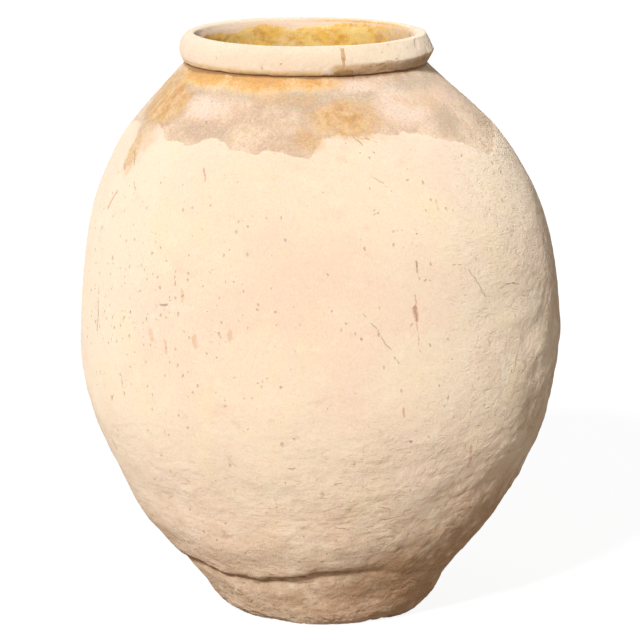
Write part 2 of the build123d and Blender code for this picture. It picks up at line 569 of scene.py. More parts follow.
class SurfaceEffects:
    """The node groups that more than one finish uses. Each is made once."""

    vectors = ("Place", "Start", "Run")

    def __init__(self) -> None:
        """Makes the groups."""
        self.speckle = self.make_speckle()
        self.line = self.make_line()
        self.ragged = self.make_ragged()
        self.grain = self.make_grain()
        self.creases = self.make_creases()

    def start(self, name: str, output: str, *inputs: str) -> tuple[NodeBench, list[Wire]]:
        """Starts a group.

        Args:
            name: The group's name.
            output: The name of its one output, a number.
            *inputs: The names of its inputs.

        Returns:
            The bench to build the group on, and its inputs.
        """
        group = bpy.data.node_groups.new(name, "ShaderNodeTree")
        for title in inputs:
            kind = "NodeSocketVector" if title in self.vectors else "NodeSocketFloat"
            group.interface.new_socket(title, in_out="INPUT", socket_type=kind)
        group.interface.new_socket(output, in_out="OUTPUT", socket_type="NodeSocketFloat")
        bench = NodeBench(group)
        given = bench.add("NodeGroupInput")
        return bench, [Wire(bench, given.outputs[title]) for title in inputs]

    @staticmethod
    def end(result: Wire) -> bpy.types.NodeTree:
        """Joins the result to the group's output and gives the group."""
        result.bench.add("NodeGroupOutput", {0: result})
        return result.bench.tree

    def make_speckle(self) -> bpy.types.NodeTree:
        """Makes dots of uneven size, with 1 inside a dot and more dots where Amount is higher.

        Returns:
            The group.
        """
        names = ("Place", "Scale", "Amount", "Size")
        bench, (place, scale, amount, size) = self.start("Speckle", "Mask", *names)
        cells = bench.node("ShaderNodeTexVoronoi", {"Vector": place, "Scale": scale}, "Distance")
        chance = bench.node("ShaderNodeSeparateColor", {0: cells.out("Color")})
        there = bench.sum("GREATER_THAN", amount, chance)
        inside = bench.sum("DIVIDE", size * (chance.out(1) + 0.3) - cells, 0.08, clamp=True)
        return self.end(inside * there)

    def make_line(self) -> bpy.types.NodeTree:
        """Makes a thin straight mark, with 1 along its middle, which tapers off at its edges.

        Returns:
            The group.
        """
        names = ("Place", "Start", "Run", "Width")
        bench, (place, start, run, width) = self.start("Scratch line", "Mask", *names)
        ahead = bench.vectors("SUBTRACT", place, start)
        along = bench.vectors("DOT_PRODUCT", ahead, run)
        share = bench.sum("DIVIDE", along, bench.vectors("DOT_PRODUCT", run, run), clamp=True)
        away = bench.vectors("LENGTH", bench.vectors("SUBTRACT", ahead, bench.scaled(run, share)))
        near = bench.sum("SUBTRACT", 1.0, bench.sum("DIVIDE", away, width), clamp=True)
        return self.end(bench.sum("POWER", near, 0.7))

    def make_ragged(self) -> bpy.types.NodeTree:
        """Makes a ragged edge, which goes from 0 to 1 where Value crosses zero.

        Returns:
            The group.
        """
        names = ("Place", "Value", "Scale", "Reach", "Softness")
        bench, (place, value, scale, reach, softness) = self.start("Ragged edge", "Mask", *names)
        swing = (bench.tints(place, scale, 6.0, 0.62).out("Fac") - 0.5) * reach
        return self.end(bench.sum("ADD", bench.sum("DIVIDE", value + swing, softness), 0.5, clamp=True))

    def make_grain(self) -> bpy.types.NodeTree:
        """Makes the height of fired clay's fine grain, with sideways strokes of the hand through it.

        Returns:
            The group.
        """
        bench, (place, strokes) = self.start("Clay grain", "Height", "Place", "Strokes")
        sand = bench.noise(place, 2.4 * MM, 3.0, 0.65)
        lumps = bench.noise(place, 6.5 * MM, 5.0, 0.7)
        stroked = bench.noise(bench.stretched(place, (3.2, 3.2, 1)), 4 * MM, 3.0, 0.6) * strokes
        return self.end(sand * 0.34 + lumps + stroked)

    def make_creases(self) -> bpy.types.NodeTree:
        """Makes the short slanting creases of a drying hand-pressed wall, with 1 in a crease's middle.

        Returns:
            The group.
        """
        bench, (place,) = self.start("Short creases", "Mask", "Place")
        feeds = {"Vector": place, "Rotation": (0, math.radians(17), 0), "Scale": (0.42, 0.42, 1.0)}
        slanted = bench.node("ShaderNodeMapping", feeds)
        away = bench.sum("ABSOLUTE", bench.noise(slanted, 9 * MM, 3.0, 0.5) - 0.5, 0.0)
        short = bench.spread(bench.noise(place, 15 * MM, 2.0), 0.47, 0.60)
        return self.end(bench.spread(away, 0.045, 0.004) * short)


@dataclass(frozen=True)
class Mottle:
    """Noise that lets a colour show in patches.

    Attributes:
        size: The size of a patch, in metres.
        detail: How many finer layers the noise has.
        roughness: How strong the finer layers are.
        low: The noise's value where the colour starts to show.
        high: The value where it shows most. It may lie below low.
        share: How much of it shows there.
        stretch: How many times longer the patches are along x, y and z.
        shift: How far the noise is shifted, in metres.
    """

    size: float
    detail: float
    roughness: float
    low: float
    high: float
    share: float = 1.0
    stretch: Range | None = None
    shift: Range = (0, 0, 0)

    def read(self, bench: NodeBench, place: Wire) -> Wire:
        """Gives how much of the colour shows.

        Args:
            bench: The material's bench.
            place: The surface's place.

        Returns:
            Its strength, from 0 to its share.
        """
        if self.stretch:
            place = bench.stretched(place, self.stretch, self.shift)
        noise = bench.noise(place, self.size, self.detail, self.roughness)
        return bench.spread(noise, self.low, self.high, self.share)


NamedMottles = tuple[tuple[str, Mottle], ...]


@dataclass(frozen=True)
class Patch:
    """A painted stain with a ragged edge.

    Attributes:
        trace: What is painted.
        level: The painted strength at its edge.
        scale: How fine its edge is broken.
        reach: How far its edge is broken.
        softness: How soft its edge is.
        share: How much of it shows.
    """

    trace: Trace
    level: float
    scale: float
    reach: float
    softness: float
    share: float = 1.0

    def read(self, bench: NodeBench, place: Wire, effects: SurfaceEffects) -> Wire:
        """Gives how much of the stain shows.

        Args:
            bench: The material's bench.
            place: The surface's place.
            effects: The shared node groups.

        Returns:
            Its strength, from 0 to its share.
        """
        edge = {"scale": self.scale, "reach": self.reach, "softness": self.softness}
        value = bench.trace(self.trace) - self.level
        return bench.group(effects.ragged, place=place, value=value, **edge) * self.share


@dataclass(frozen=True)
class PlacedMark:
    """One straight piece of a mark, in place.

    Attributes:
        kind: What kind of mark it is.
        start: Its start, in metres.
        run: The way to its end, in metres.
        width: Half its width, in metres.
    """

    kind: MarkKind
    start: Vector
    run: Vector
    width: float


# Finishes


@dataclass(frozen=True)
class ClayFinish:
    """Pale fired clay: a chalky cream coat over a mottled, stained ground.

    Each range is where an effect starts, where it is strongest, and how strong it is there. Each list
    of mottles or patches is laid on in order, with the name of its colour.

    Attributes:
        effects: The shared node groups.
    """

    effects: SurfaceEffects
    cream: Colour = (0.93, 0.79, 0.62)
    cream_rose: Colour = (0.925, 0.755, 0.60)
    cream_yellow: Colour = (0.93, 0.79, 0.575)
    chalk: Colour = (0.95, 0.86, 0.72)
    worn: Colour = (0.76, 0.56, 0.40)
    worn_pale: Colour = (0.88, 0.70, 0.52)
    umber: Colour = (0.80, 0.575, 0.40)
    shade: Colour = (0.60, 0.49, 0.39)
    rose: Colour = (0.88, 0.65, 0.50)
    ochre: Colour = (0.68, 0.43, 0.20)
    ochre_pale: Colour = (0.79, 0.56, 0.33)
    pale: Colour = (0.915, 0.76, 0.62)
    ash: Colour = (0.52, 0.41, 0.30)
    amber: Colour = (0.83, 0.46, 0.11)
    amber_pale: Colour = (0.90, 0.65, 0.30)
    # Painted shade for the creases and hollows, and a darker painted shade for the deepest hollows, the
    # foot's groove and the crevice under the collar
    crease_shade: Colour = (0.60, 0.42, 0.27)
    hollow_shade: Colour = (0.38, 0.20, 0.09)
    crack: Colour = (0.32, 0.20, 0.12)
    scratch: Colour = (0.46, 0.31, 0.20)
    flake: Colour = (0.72, 0.45, 0.24)
    rust: Colour = (0.60, 0.27, 0.16)
    rough_below: Range = (0.48, 0.14, 1.25)
    rough_right: Range = (0.08, 0.26, 1.1)
    rough_above: Range = (0.64, 0.70, 0.5)
    creased_right: Range = (-0.10, 0.14, 0.65)
    # Darker towards the bottom: dirt with painted shade
    dirt_and_shade_below: Range = (0.34, 0.02, 0.85)
    dirt_and_shade_mottle: Mottle = Mottle(0.05, 6.0, 0.6, 0.25, 0.66)
    coat_mottles: NamedMottles = (
        ("cream_rose", Mottle(0.12, 4.0, 0.55, 0.42, 0.66)),
        ("cream_yellow", Mottle(0.07, 5.0, 0.6, 0.5, 0.72, 0.8, (1, 1, 2.2), (0.3, 0.1, 0.2))),
        ("chalk", Mottle(0.028, 6.0, 0.65, 0.54, 0.76, 0.7)),
        ("rose", Mottle(0.055, 6.0, 0.66, 0.54, 0.78, 0.5, (1, 1, 0.7), (0.7, 0.2, 0.5))),
    )
    coat_grain: NamedMottles = (
        ("umber", Mottle(3.2 * MM, 6.0, 0.8, 0.5, 0.7, 0.42, (1, 1, 1.3))),
        ("chalk", Mottle(3.2 * MM, 6.0, 0.8, 0.48, 0.34, 0.5, (1, 1, 1.3))),
    )
    ground_mottles: NamedMottles = (("worn_pale", Mottle(0.05, 6.0, 0.62, 0.40, 0.62)),)
    ground_patches: tuple[tuple[str, Patch], ...] = (
        ("rose", Patch(Trace.ROSE, 0.45, 30.0, 1.1, 0.55, 0.85)),
        ("ash", Patch(Trace.ASH, 0.5, 60.0, 1.9, 1.0, 0.55)),
        ("pale", Patch(Trace.BARE, 0.5, 34.0, 1.1, 0.7, 0.75)),
    )
    ground_grain: NamedMottles = (
        ("ash", Mottle(3.4 * MM, 6.0, 0.8, 0.5, 0.66, 0.65)),
        ("chalk", Mottle(3.4 * MM, 6.0, 0.8, 0.46, 0.34, 0.6)),
    )
    soot_and_shade_mottle: Mottle = Mottle(0.03, 6.0, 0.65, 0.2, 0.6)
    stain_grain: Mottle = Mottle(3 * MM, 5.0, 0.75, 0.66, 0.42, 0.6)
    ochre_patch: Patch = Patch(Trace.OCHRE, 0.5, 38.0, 1.5, 0.6)
    ochre_mottle: Mottle = Mottle(0.009, 6.0, 0.75, 0.36, 0.64)
    amber_patch: Patch = Patch(Trace.AMBER, 0.5, 70.0, 1.1, 0.7)
    hollow_shade_mottle: Mottle = Mottle(0.012, 5.0, 0.55, 0.25, 0.6, 0.75)

    def material(self, name: str, marks: Sequence[PlacedMark] = ()) -> bpy.types.Material:
        """Makes the finish for one piece.

        Args:
            name: The material's name.
            marks: The thin marks that lie on the piece.

        Returns:
            The material.
        """
        made, bench, place = new_finish(name)
        colour, coat = self.weathered(bench, place)
        colour, pits = self.pitted(bench, place, colour)
        colour, cuts = self.marked(bench, place, colour, marks)
        across = bench.node("ShaderNodeSeparateXYZ", {0: place})
        up = across.out(2)
        worked = bench.spread(up, *self.rough_below).largest(bench.spread(across, *self.rough_right))
        grain = bench.group(self.effects.grain, place=place, strokes=worked * 0.35)
        grain = grain * (worked + (bench.spread(up, *self.rough_above) + 0.75))
        creased = worked * (bench.spread(across, *self.creased_right) + 0.3)
        creases = bench.group(self.effects.creases, place=place) * creased
        height = grain - creases * 0.6 - pits * 0.9 - cuts * 0.8 + coat * 0.35
        sheen = bench.spread(bench.noise(place, 40 * MM), 0.35, 0.65, 0.12)
        # The creases' colour gets a little painted shade
        bench.surface(
            {"Height": height, "Distance": MM, "Strength": 1.0},
            Base_Color=bench.blend(creases * 0.08, colour, self.crease_shade),
            Roughness=0.93 - (sheen + bench.trace(Trace.AMBER) * 0.35),
            Specular_IOR_Level=0.2,
            Diffuse_Roughness=1.0,
        )
        return made

    def weathered(self, bench: NodeBench, place: Wire) -> tuple[Wire, Wire]:
        """Gives the clay's colour with its stains and painted shade, and the mask of the pale coat.

        Args:
            bench: The material's bench.
            place: The surface's place.

        Returns:
            The colour, and the coat's mask.
        """
        coat = self.coat_mask(bench, place)
        colour = bench.blend(coat, self.ground_colour(bench, place), self.coat_colour(bench, place))
        return self.tinted(bench, place, self.stained(bench, place, colour), 0.28 - coat * 0.1), coat

    def mottled(self, bench: NodeBench, place: Wire, colour: Feed, mottles: NamedMottles) -> Wire:
        """Lays mottles over a colour, in order.

        Args:
            bench: The material's bench.
            place: The surface's place.
            colour: The colour so far.
            mottles: The mottles, each with the name of its colour.

        Returns:
            The new colour.
        """
        for name, mottle in mottles:
            colour = bench.blend(mottle.read(bench, place), colour, getattr(self, name))
        return colour

    @staticmethod
    def tinted(bench: NodeBench, place: Wire, colour: Feed, share: Feed) -> Wire:
        """Lays a share of fine many-coloured grain over a colour.

        Args:
            bench: The material's bench.
            place: The surface's place.
            colour: The colour so far.
            share: How much of the grain is laid on.

        Returns:
            The new colour.
        """
        tints = bench.tints(place, 1 / (2.2 * MM), 2.0, 0.6)
        strong = bench.vectors("MULTIPLY_ADD", tints, (1.6,) * 3, (-0.3,) * 3)
        return bench.blend(share, colour, strong, "OVERLAY")

    def coat_mask(self, bench: NodeBench, place: Wire) -> Wire:
        """Gives 1 where the pale coat lies, with its broken edge.

        Args:
            bench: The material's bench.
            place: The surface's place.

        Returns:
            The mask.
        """
        edge = bench.trace(Trace.COAT) + (bench.noise(place, 26 * MM, 5.0, 0.6) - 0.5) * (10 * MM)
        broken = {"scale": 240.0, "reach": 5 * MM, "softness": 0.9 * MM}
        return bench.group(self.effects.ragged, place=place, value=edge, **broken)

    def coat_colour(self, bench: NodeBench, place: Wire) -> Wire:
        """Gives the coat's mottled cream.

        Args:
            bench: The material's bench.
            place: The surface's place.

        Returns:
            The colour.
        """
        colour = self.mottled(bench, place, self.cream, self.coat_mottles)
        up = bench.node("ShaderNodeSeparateXYZ", {0: place}, 2)
        # Darker towards the bottom: dirt with painted shade
        dirt_and_shade = bench.spread(up, *self.dirt_and_shade_below) * self.dirt_and_shade_mottle.read(bench, place)
        return self.mottled(bench, place, bench.blend(dirt_and_shade, colour, self.umber), self.coat_grain)

    def ground_colour(self, bench: NodeBench, place: Wire) -> Wire:
        """Gives the bare, weathered ground that shows where the coat has gone.

        Args:
            bench: The material's bench.
            place: The surface's place.

        Returns:
            The colour.
        """
        colour = self.mottled(bench, place, self.worn, self.ground_mottles)
        for name, patch in self.ground_patches:
            colour = bench.blend(patch.read(bench, place, self.effects), colour, getattr(self, name))
        return self.mottled(bench, place, colour, self.ground_grain)

    def stained(self, bench: NodeBench, place: Wire, colour: Wire) -> Wire:
        """Lays the sooty darkening, and the ochre and amber stains of old glaze, over a colour. The darkening
        is real soot on the left shoulder, and painted shade on the right side, round the foot and on the
        collar's shaded facet and underside.

        Args:
            bench: The material's bench.
            place: The surface's place.
            colour: The colour so far.

        Returns:
            The new colour.
        """
        # Painted shade, with real soot on the left shoulder: the marked places are multiplied darker
        soot = bench.trace(Trace.SOOT_AND_SHADE) * self.soot_and_shade_mottle.read(bench, place)
        colour = bench.blend(soot, colour, self.shade, "MULTIPLY")
        grain = bench.sum("ADD", self.stain_grain.read(bench, place), 0.35, clamp=True)
        tone = bench.blend(self.ochre_mottle.read(bench, place), self.ochre, self.ochre_pale)
        colour = bench.blend(self.ochre_patch.read(bench, place, self.effects) * grain, colour, tone)
        depth = bench.noise(place, 0.014, 6.0, 0.7) - bench.trace(Trace.AMBER) * 0.35
        tone = bench.blend(bench.spread(depth, 0.05, 0.35), self.amber, self.amber_pale)
        return bench.blend(self.amber_patch.read(bench, place, self.effects) * grain, colour, tone)

    def pitted(self, bench: NodeBench, place: Wire, colour: Wire) -> tuple[Wire, Wire]:
        """Adds dark pits, ochre flakes, and painted shade in the hollows, to a colour.

        Args:
            bench: The material's bench.
            place: The surface's place.
            colour: The colour so far.

        Returns:
            The new colour, and the mask of the pits.
        """
        dense, speckle = bench.trace(Trace.PITS), self.effects.speckle
        swing = bench.scaled(bench.tints(place, 240.0, 4.0), 6 * MM)
        warped = bench.stretched(bench.vectors("ADD", place, swing), (1, 1, 1.7))
        many, few = dense * 0.42 + 0.06, dense * 0.22 + 0.02
        fine = bench.group(speckle, place=warped, scale=1 / (6 * MM), amount=many, size=0.22)
        coarse = bench.group(speckle, place=warped, scale=1 / (15 * MM), amount=few, size=0.15)
        pits = fine.largest(coarse)
        tall = bench.stretched(warped, (1, 1, 1.4), (0.4, 0.0, 0.3))
        flakes = bench.group(speckle, place=tall, scale=1 / (26 * MM), amount=dense * 0.05 + 0.008, size=0.18)
        colour = bench.blend(flakes * 0.4, colour, self.flake)
        colour = bench.blend(pits * 0.42, colour, self.scratch)
        # Painted shade in the hollows, the foot's groove and the crevice under the collar
        hollow = bench.trace(Trace.HOLLOW)
        colour = bench.blend(hollow * self.hollow_shade_mottle.read(bench, place), colour, self.crease_shade)
        hollow_shade = hollow + bench.noise(place, 0.007, 5.0, 0.7)
        return bench.blend(bench.spread(hollow_shade, 1.0, 1.55, 0.85), colour, self.hollow_shade), pits

    def marked(
        self, bench: NodeBench, place: Wire, colour: Wire, marks: Sequence[PlacedMark]
    ) -> tuple[Wire, Feed]:
        """Adds the thin marks to a colour.

        Args:
            bench: The material's bench.
            place: The surface's place.
            colour: The colour so far.
            marks: The marks on this piece.

        Returns:
            The new colour, and how deep the surface is cut.
        """
        if not marks:
            return colour, 0.0
        shaky = bench.scaled(bench.tints(place, 70.0, 5.0), 9 * MM)
        shifted = bench.vectors("SUBTRACT", bench.vectors("ADD", place, shaky), (4.5 * MM,) * 3)
        broken = (bench.noise(place, 4 * MM, 4.0, 0.65) - 0.5) * 2.2
        line, cuts = self.effects.line, []
        for kind, strength in MARK_STRENGTHS.items():
            lines = [
                bench.group(line, place=shifted, start=mark.start, run=mark.run, width=mark.width)
                for mark in marks
                if mark.kind is kind
            ]
            if not lines:
                continue
            found = reduce(Wire.largest, lines)
            found = bench.spread(found + broken * found, 0.2, 0.75)
            colour = bench.blend(found * strength, colour, getattr(self, kind.value))
            if kind in (MarkKind.CRACK, MarkKind.SCRATCH):
                cuts.append(found)
        return colour, reduce(Wire.largest, cuts) if cuts else 0.0


@dataclass(frozen=True)
class HoneyGlazeFinish:
    """Honey-coloured lead glaze, glossy, uneven in depth, worn to the clay in places.

    Attributes:
        effects: The shared node groups.
    """

    effects: SurfaceEffects
    honey: Colour = (0.93, 0.55, 0.10)
    gold: Colour = (0.95, 0.68, 0.24)
    deep: Colour = (0.68, 0.33, 0.05)
    soot: Colour = (0.30, 0.19, 0.09)
    bare: Colour = (0.92, 0.69, 0.53)
    gold_mottle: Mottle = Mottle(0.03, 6.0, 0.65, 0.36, 0.64)
    streaks: Mottle = Mottle(0.013, 5.0, 0.65, 0.47, 0.66, 0.8, (1.2, 1.2, 1))
    soot_and_shade_patch: Patch = Patch(Trace.SOOT_AND_SHADE, 0.5, 60.0, 1.1, 0.6, 0.8)
    bare_patch: Patch = Patch(Trace.BARE, 0.5, 75.0, 1.9, 0.6)
    sheen: Mottle = Mottle(0.02, 4.0, 0.55, 0.3, 0.7, 0.25)

    def material(self, name: str) -> bpy.types.Material:
        """Makes the finish under a name.

        Args:
            name: The material's name.

        Returns:
            The material.
        """
        made, bench, place = new_finish(name)
        colour = bench.blend(self.gold_mottle.read(bench, place), self.honey, self.gold)
        colour = bench.blend(self.streaks.read(bench, place), colour, self.deep)
        # Painted shade on the left inner wall under the lip, and darker towards the floor
        colour = bench.blend(self.soot_and_shade_patch.read(bench, place, self.effects), colour, self.soot)
        feeds = {"Vector": place, "Scale": 1 / (9 * MM)}
        crackle = bench.node("ShaderNodeTexVoronoi", feeds, "Distance", feature="DISTANCE_TO_EDGE")
        colour = bench.blend(bench.spread(crackle, 0.03, 0.0, 0.25), colour, self.deep)
        amount = bench.trace(Trace.BARE) * 0.4
        dots = bench.group(self.effects.speckle, place=place, scale=1 / (5 * MM), amount=amount, size=0.3)
        bare = self.bare_patch.read(bench, place, self.effects).largest(dots)
        bench.surface(
            {"Height": bench.noise(place, 0.009) - bare * 0.5, "Distance": 0.7 * MM, "Strength": 1.0},
            Base_Color=bench.blend(bare * 0.9, colour, self.bare),
            Roughness=bench.sum("ADD", bare * 0.5 + self.sheen.read(bench, place), 0.2, clamp=True),
            Specular_IOR_Level=0.5,
        )
        return made


@dataclass(frozen=True)
class WornGlazeFinish:
    """The worn remains of glaze on the outside: deep amber where thick, bare stained clay where gone.

    Attributes:
        clay: The finish of the clay that shows through.
        cover: How much of the film is still there, from 0 to 1.
        rich: How much deeper its colour gets where the amber is painted.
        thick: The colour where the film is thick.
        thin: The colour where the film is thin.
        scab: The dark colour of dirt in the film.
        gloss: How glossy the film is, from 0 to 1.
    """

    clay: ClayFinish
    cover: float = 0.5
    rich: float = 0.0
    thick: Colour = (0.66, 0.37, 0.13)
    thin: Colour = (0.83, 0.58, 0.32)
    scab: Colour = (0.42, 0.30, 0.19)
    gloss: float = 0.3
    worn: Mottle = Mottle(3 * MM, 5.0, 0.75, 0.68, 0.45, 0.5)
    scabs: Mottle = Mottle(0.008, 6.0, 0.7, 0.54, 0.74, 0.6, (1, 1, 1), (0.2, 0.6, 0.1))

    def material(self, name: str) -> bpy.types.Material:
        """Makes the finish under a name.

        Args:
            name: The material's name.

        Returns:
            The material.
        """
        made, bench, place = new_finish(name)
        below, _ = self.clay.weathered(bench, place)
        film = Patch(Trace.FILM, 1 - self.cover, 60.0, 1.5, 0.5).read(bench, place, self.clay.effects)
        film = film * bench.sum("ADD", self.worn.read(bench, place), 0.45, clamp=True)
        depth = bench.noise(place, 0.016, 6.0, 0.68) + (bench.trace(Trace.AMBER) - 0.7) * self.rich
        colour = bench.blend(bench.spread(depth, 0.38, 0.66), self.thin, self.thick)
        colour = bench.blend(self.scabs.read(bench, place), colour, self.scab)
        colour = bench.blend(film, below, self.clay.tinted(bench, place, colour, 0.3))
        # Painted shade in the hollows and the crevice under the collar
        hollow_shade = bench.trace(Trace.HOLLOW) + bench.noise(place, 0.006, 5.0, 0.7) * 0.8
        grain = bench.group(self.clay.effects.grain, place=place, strokes=0.0)
        bench.surface(
            {"Height": grain, "Distance": MM, "Strength": 0.8},
            Base_Color=bench.blend(bench.spread(hollow_shade, 0.55, 1.25, 0.9), colour, self.clay.hollow_shade),
            Roughness=bench.sum("SUBTRACT", 0.9, film * self.gloss, clamp=True),
            Specular_IOR_Level=0.4,
            Diffuse_Roughness=1.0,
        )
        return made


# The jar's surface


@dataclass
class JarOutline:
    """The turned shape of the clay wall, in metres, from the same shares as the solids."""

    belly_height: float = 0.382
    belly_radius: float = 0.321
    foot_radius: float = 0.121
    neck_height: float = 0.742
    neck_radius: float = 0.160
    throat_radius: float = 0.144
    wall_thickness: float = 0.018
    mouth_lean: float = 0.0195
    foot_lean: float = 0.005
    lip_widening: float = 3.5 * MM
    lip_heights: Range = (0.760, 0.781)
    lower_shares: tuple[tuple[float, float, float], ...] = (
        (0.000, 0.000, 1.00),
        (0.024, 0.065, 1.00),
        (0.063, 0.135, 0.95),
        (0.115, 0.207, 0.80),
        (0.178, 0.300, 0.45),
        (0.262, 0.444, 0.00),
        (0.366, 0.604, 0.00),
        (0.484, 0.732, 0.00),
        (0.628, 0.864, 0.00),
        (0.785, 0.955, 0.00),
        (1.000, 1.000, 0.00),
    )
    upper_shares: tuple[tuple[float, float, float], ...] = (
        (0.188, 0.975, 0.03),
        (0.355, 0.928, 0.08),
        (0.493, 0.843, 0.20),
        (0.632, 0.702, 0.41),
        (0.742, 0.547, 0.57),
        (0.853, 0.327, 0.76),
        (0.936, 0.138, 0.92),
        (1.000, 0.000, 1.00),
    )

    def __post_init__(self) -> None:
        """Draws the curve through the stations."""
        lower, upper = np.array(self.lower_shares).T, np.array(self.upper_shares).T
        rise = self.neck_height - self.belly_height
        knots = np.append(lower[0] * self.belly_height, self.belly_height + upper[0] * rise)
        below = self.foot_radius + lower[1] * (self.belly_radius - self.foot_radius)
        above = self.neck_radius + upper[1] * (self.belly_radius - self.neck_radius)
        leans = np.append(lower[2] * self.foot_lean, -upper[2] * self.mouth_lean)
        self.heights = np.linspace(0, self.neck_height, 3000)
        self.radii = smooth_curve(knots, np.append(below, above), self.heights)
        self.centres = smooth_curve(knots, leans, self.heights)
        self.flares = np.gradient(self.radii, self.heights)
        self.lengths = np.concatenate(([0], np.cumsum(np.hypot(np.diff(self.radii), np.diff(self.heights)))))

    def radius(self, height: Numbers) -> Numbers:
        """Gives the outside's radius at each height."""
        return np.interp(height, self.heights, self.radii)

    def centre(self, height: Numbers) -> Numbers:
        """Gives the x of the wall's middle at each height."""
        return np.interp(height, self.heights, self.centres)

    def tilt(self, height: Numbers) -> tuple[Numbers, Numbers]:
        """Gives the rise and the spread of a unit step up the surface at each height.

        Args:
            height: Heights in metres.

        Returns:
            The rise and the spread.
        """
        flare = np.interp(height, self.heights, self.flares)
        slant = np.hypot(flare, 1)
        return 1 / slant, flare / slant

    def lip_flare(self, height: Numbers) -> Numbers:
        """Gives how far the mouth widens towards its lip at each height."""
        return self.lip_widening * eased(height, *self.lip_heights)

    def evenly(self, low: float, high: float, spacing: float) -> Numbers:
        """Gives heights from low to high that are evenly spaced along the surface.

        Args:
            low: The lowest height.
            high: The highest height.
            spacing: The length of surface between two heights.

        Returns:
            The heights, with low and high among them.
        """
        start, end = np.interp([low, high], self.heights, self.lengths)
        count = max(1, math.ceil((end - start) / spacing))
        return np.interp(np.linspace(start, end, count + 1), self.lengths, self.heights)

    def inside(self, height: Numbers, depth: float) -> tuple[Numbers, Numbers]:
        """Gives the radius and height of points that lie square to the surface, a depth inside it."""
        rise, spread = self.tilt(height)
        return self.radius(height) - depth * rise, height + depth * spread


# What can stain the clay or paint shade on it, in the order in which it is kept
STAINS = (
    *(Trace.AMBER, Trace.OCHRE, Trace.ROSE, Trace.ASH, Trace.BARE),
    *(Trace.PITS, Trace.SOOT_AND_SHADE, Trace.HOLLOW, Trace.COAT),
)

# Where old glaze, fire and dirt have stained the clay, and where shade is painted on it, in soft ovals: the
# azimuth of each one's middle in degrees, its height in mm, half its width in degrees, half its height in mm,
# and its strength
ZONES = {
    Trace.AMBER: (
        (-52, 736, 15, 12, 1.35),
        (-22, 736, 20, 12, 1.2),
        (3, 737, 11, 10, 1.05),
        (-72, 740, 6, 5, 0.9),
        (132, 733, 22, 9, 1.05),
        (-153, 733, 16, 9, 1.05),
    ),
    Trace.OCHRE: (
        (-66, 695, 11, 17, 1.6),
        (-74, 715, 12, 14, 1.4),
        (-65, 640, 3.2, 26, 0.9),
        (14, 692, 11, 20, 1.15),
        (0, 672, 5, 15, 0.75),
        (-9, 714, 14, 7, 0.62),
        (50, 706, 14, 12, 0.45),
        (-62, 655, 5, 22, 0.6),
        (168, 690, 15, 22, 0.95),
        (112, 706, 10, 16, 0.7),
        (-140, 700, 13, 18, 0.75),
    ),
    Trace.ROSE: (
        (40, 700, 12, 22, 0.95),
        (26, 728, 9, 8, 1.0),
        (-40, 702, 11, 14, 0.7),
        (70, 712, 12, 20, 0.7),
        (-115, 705, 14, 20, 0.9),
        (145, 706, 14, 18, 0.8),
    ),
    Trace.ASH: (
        (2, 713, 13, 11, 0.95),
        (-30, 718, 12, 5, 0.6),
        (58, 728, 20, 9, 1.1),
        (-48, 712, 14, 9, 0.5),
        (54, 680, 6, 14, 0.8),
        (-38, 672, 7, 8, 0.5),
        (20, 716, 10, 8, 0.6),
        (84, 690, 12, 30, 0.6),
        (-170, 716, 30, 9, 0.75),
        (96, 720, 20, 8, 0.7),
    ),
    Trace.BARE: (
        (-42, 700, 9, 11, 1.0),
        (38, 704, 9, 18, 0.9),
        (24, 728, 8, 6, 0.9),
        (-160, 700, 12, 14, 0.9),
    ),
    Trace.PITS: (
        (-44, 450, 30, 105, 1.5),
        (12, 560, 40, 80, 0.35),
        (-10, 28, 60, 26, 0.9),
        (120, 430, 50, 120, 0.5),
    ),
    # The first two zones are real soot on the left shoulder; the zones on the right side are painted shade,
    # and those round the foot are painted shade with dirt
    Trace.SOOT_AND_SHADE: (
        (-66, 731, 10, 8, 0.55),
        (-67, 696, 10, 22, 1.3),
        (68, 290, 10, 45, 0.6),
        (86, 330, 12, 230, 0.7),
        (70, 125, 24, 80, 1.15),
        (50, 60, 38, 60, 1.4),
        (-6, 36, 60, 30, 0.7),
        (-78, 60, 24, 60, 0.7),
        (130, 110, 40, 70, 0.6),
        (-140, 130, 34, 70, 0.5),
    ),
}

# The upper edge of the pale coat, as (azimuth, height in mm), once round the jar
COAT_EDGE = (
    *((-90, 662), (-80, 664), (-74, 668), (-71, 657), (-69, 645), (-68, 646), (-67.2, 652), (-66.8, 672)),
    *((-66, 678), (-62.9, 677), (-58.5, 673), (-55, 666), (-50.8, 658), (-46.9, 657), (-42.3, 655)),
    *((-39.4, 656), (-37.5, 659), (-36.1, 664), (-33.6, 665.5), (-30.5, 664), (-28.1, 662), (-25.8, 655)),
    *((-23.5, 653), (-20, 653), (-16.8, 652), (-13.7, 655), (-9.4, 655), (-5.7, 653), (-2.7, 649), (0, 648)),
    *((1.2, 655), (1.7, 664), (3.3, 671), (7.3, 673), (16, 673.5), (27, 673), (31, 673.5), (36.9, 671)),
    *((39.7, 668), (41.4, 665), (45.2, 662), (48, 658), (51.2, 656), (53.9, 653), (56, 647), (59.9, 640)),
    *((63.4, 631), (70, 640), (80, 652), (95, 660), (110, 655), (125, 668), (140, 662), (155, 672)),
    *((170, 660), (180, 655), (190, 664), (205, 650), (220, 668), (235, 660), (250, 672), (262, 655)),
)

# The groove over the foot, as (azimuth, height in mm, depth in mm), once round the jar
FOOT_GROOVE = (
    *((-180, 71, 3.0), (-140, 66, 4.2), (-100, 70, 3.0), (-75, 80, 2.2), (-55, 82, 3.2), (-42.6, 70, 4.2)),
    *((-26.2, 67, 5.8), (-8.4, 78, 6.4), (4.7, 89, 6.2), (17.4, 89, 3.6), (23.2, 87, 2.0), (36, 82, 0.8)),
    *((60, 76, 0.5), (85, 70, 0.6), (115, 64, 3.6), (150, 74, 4.4)),
)

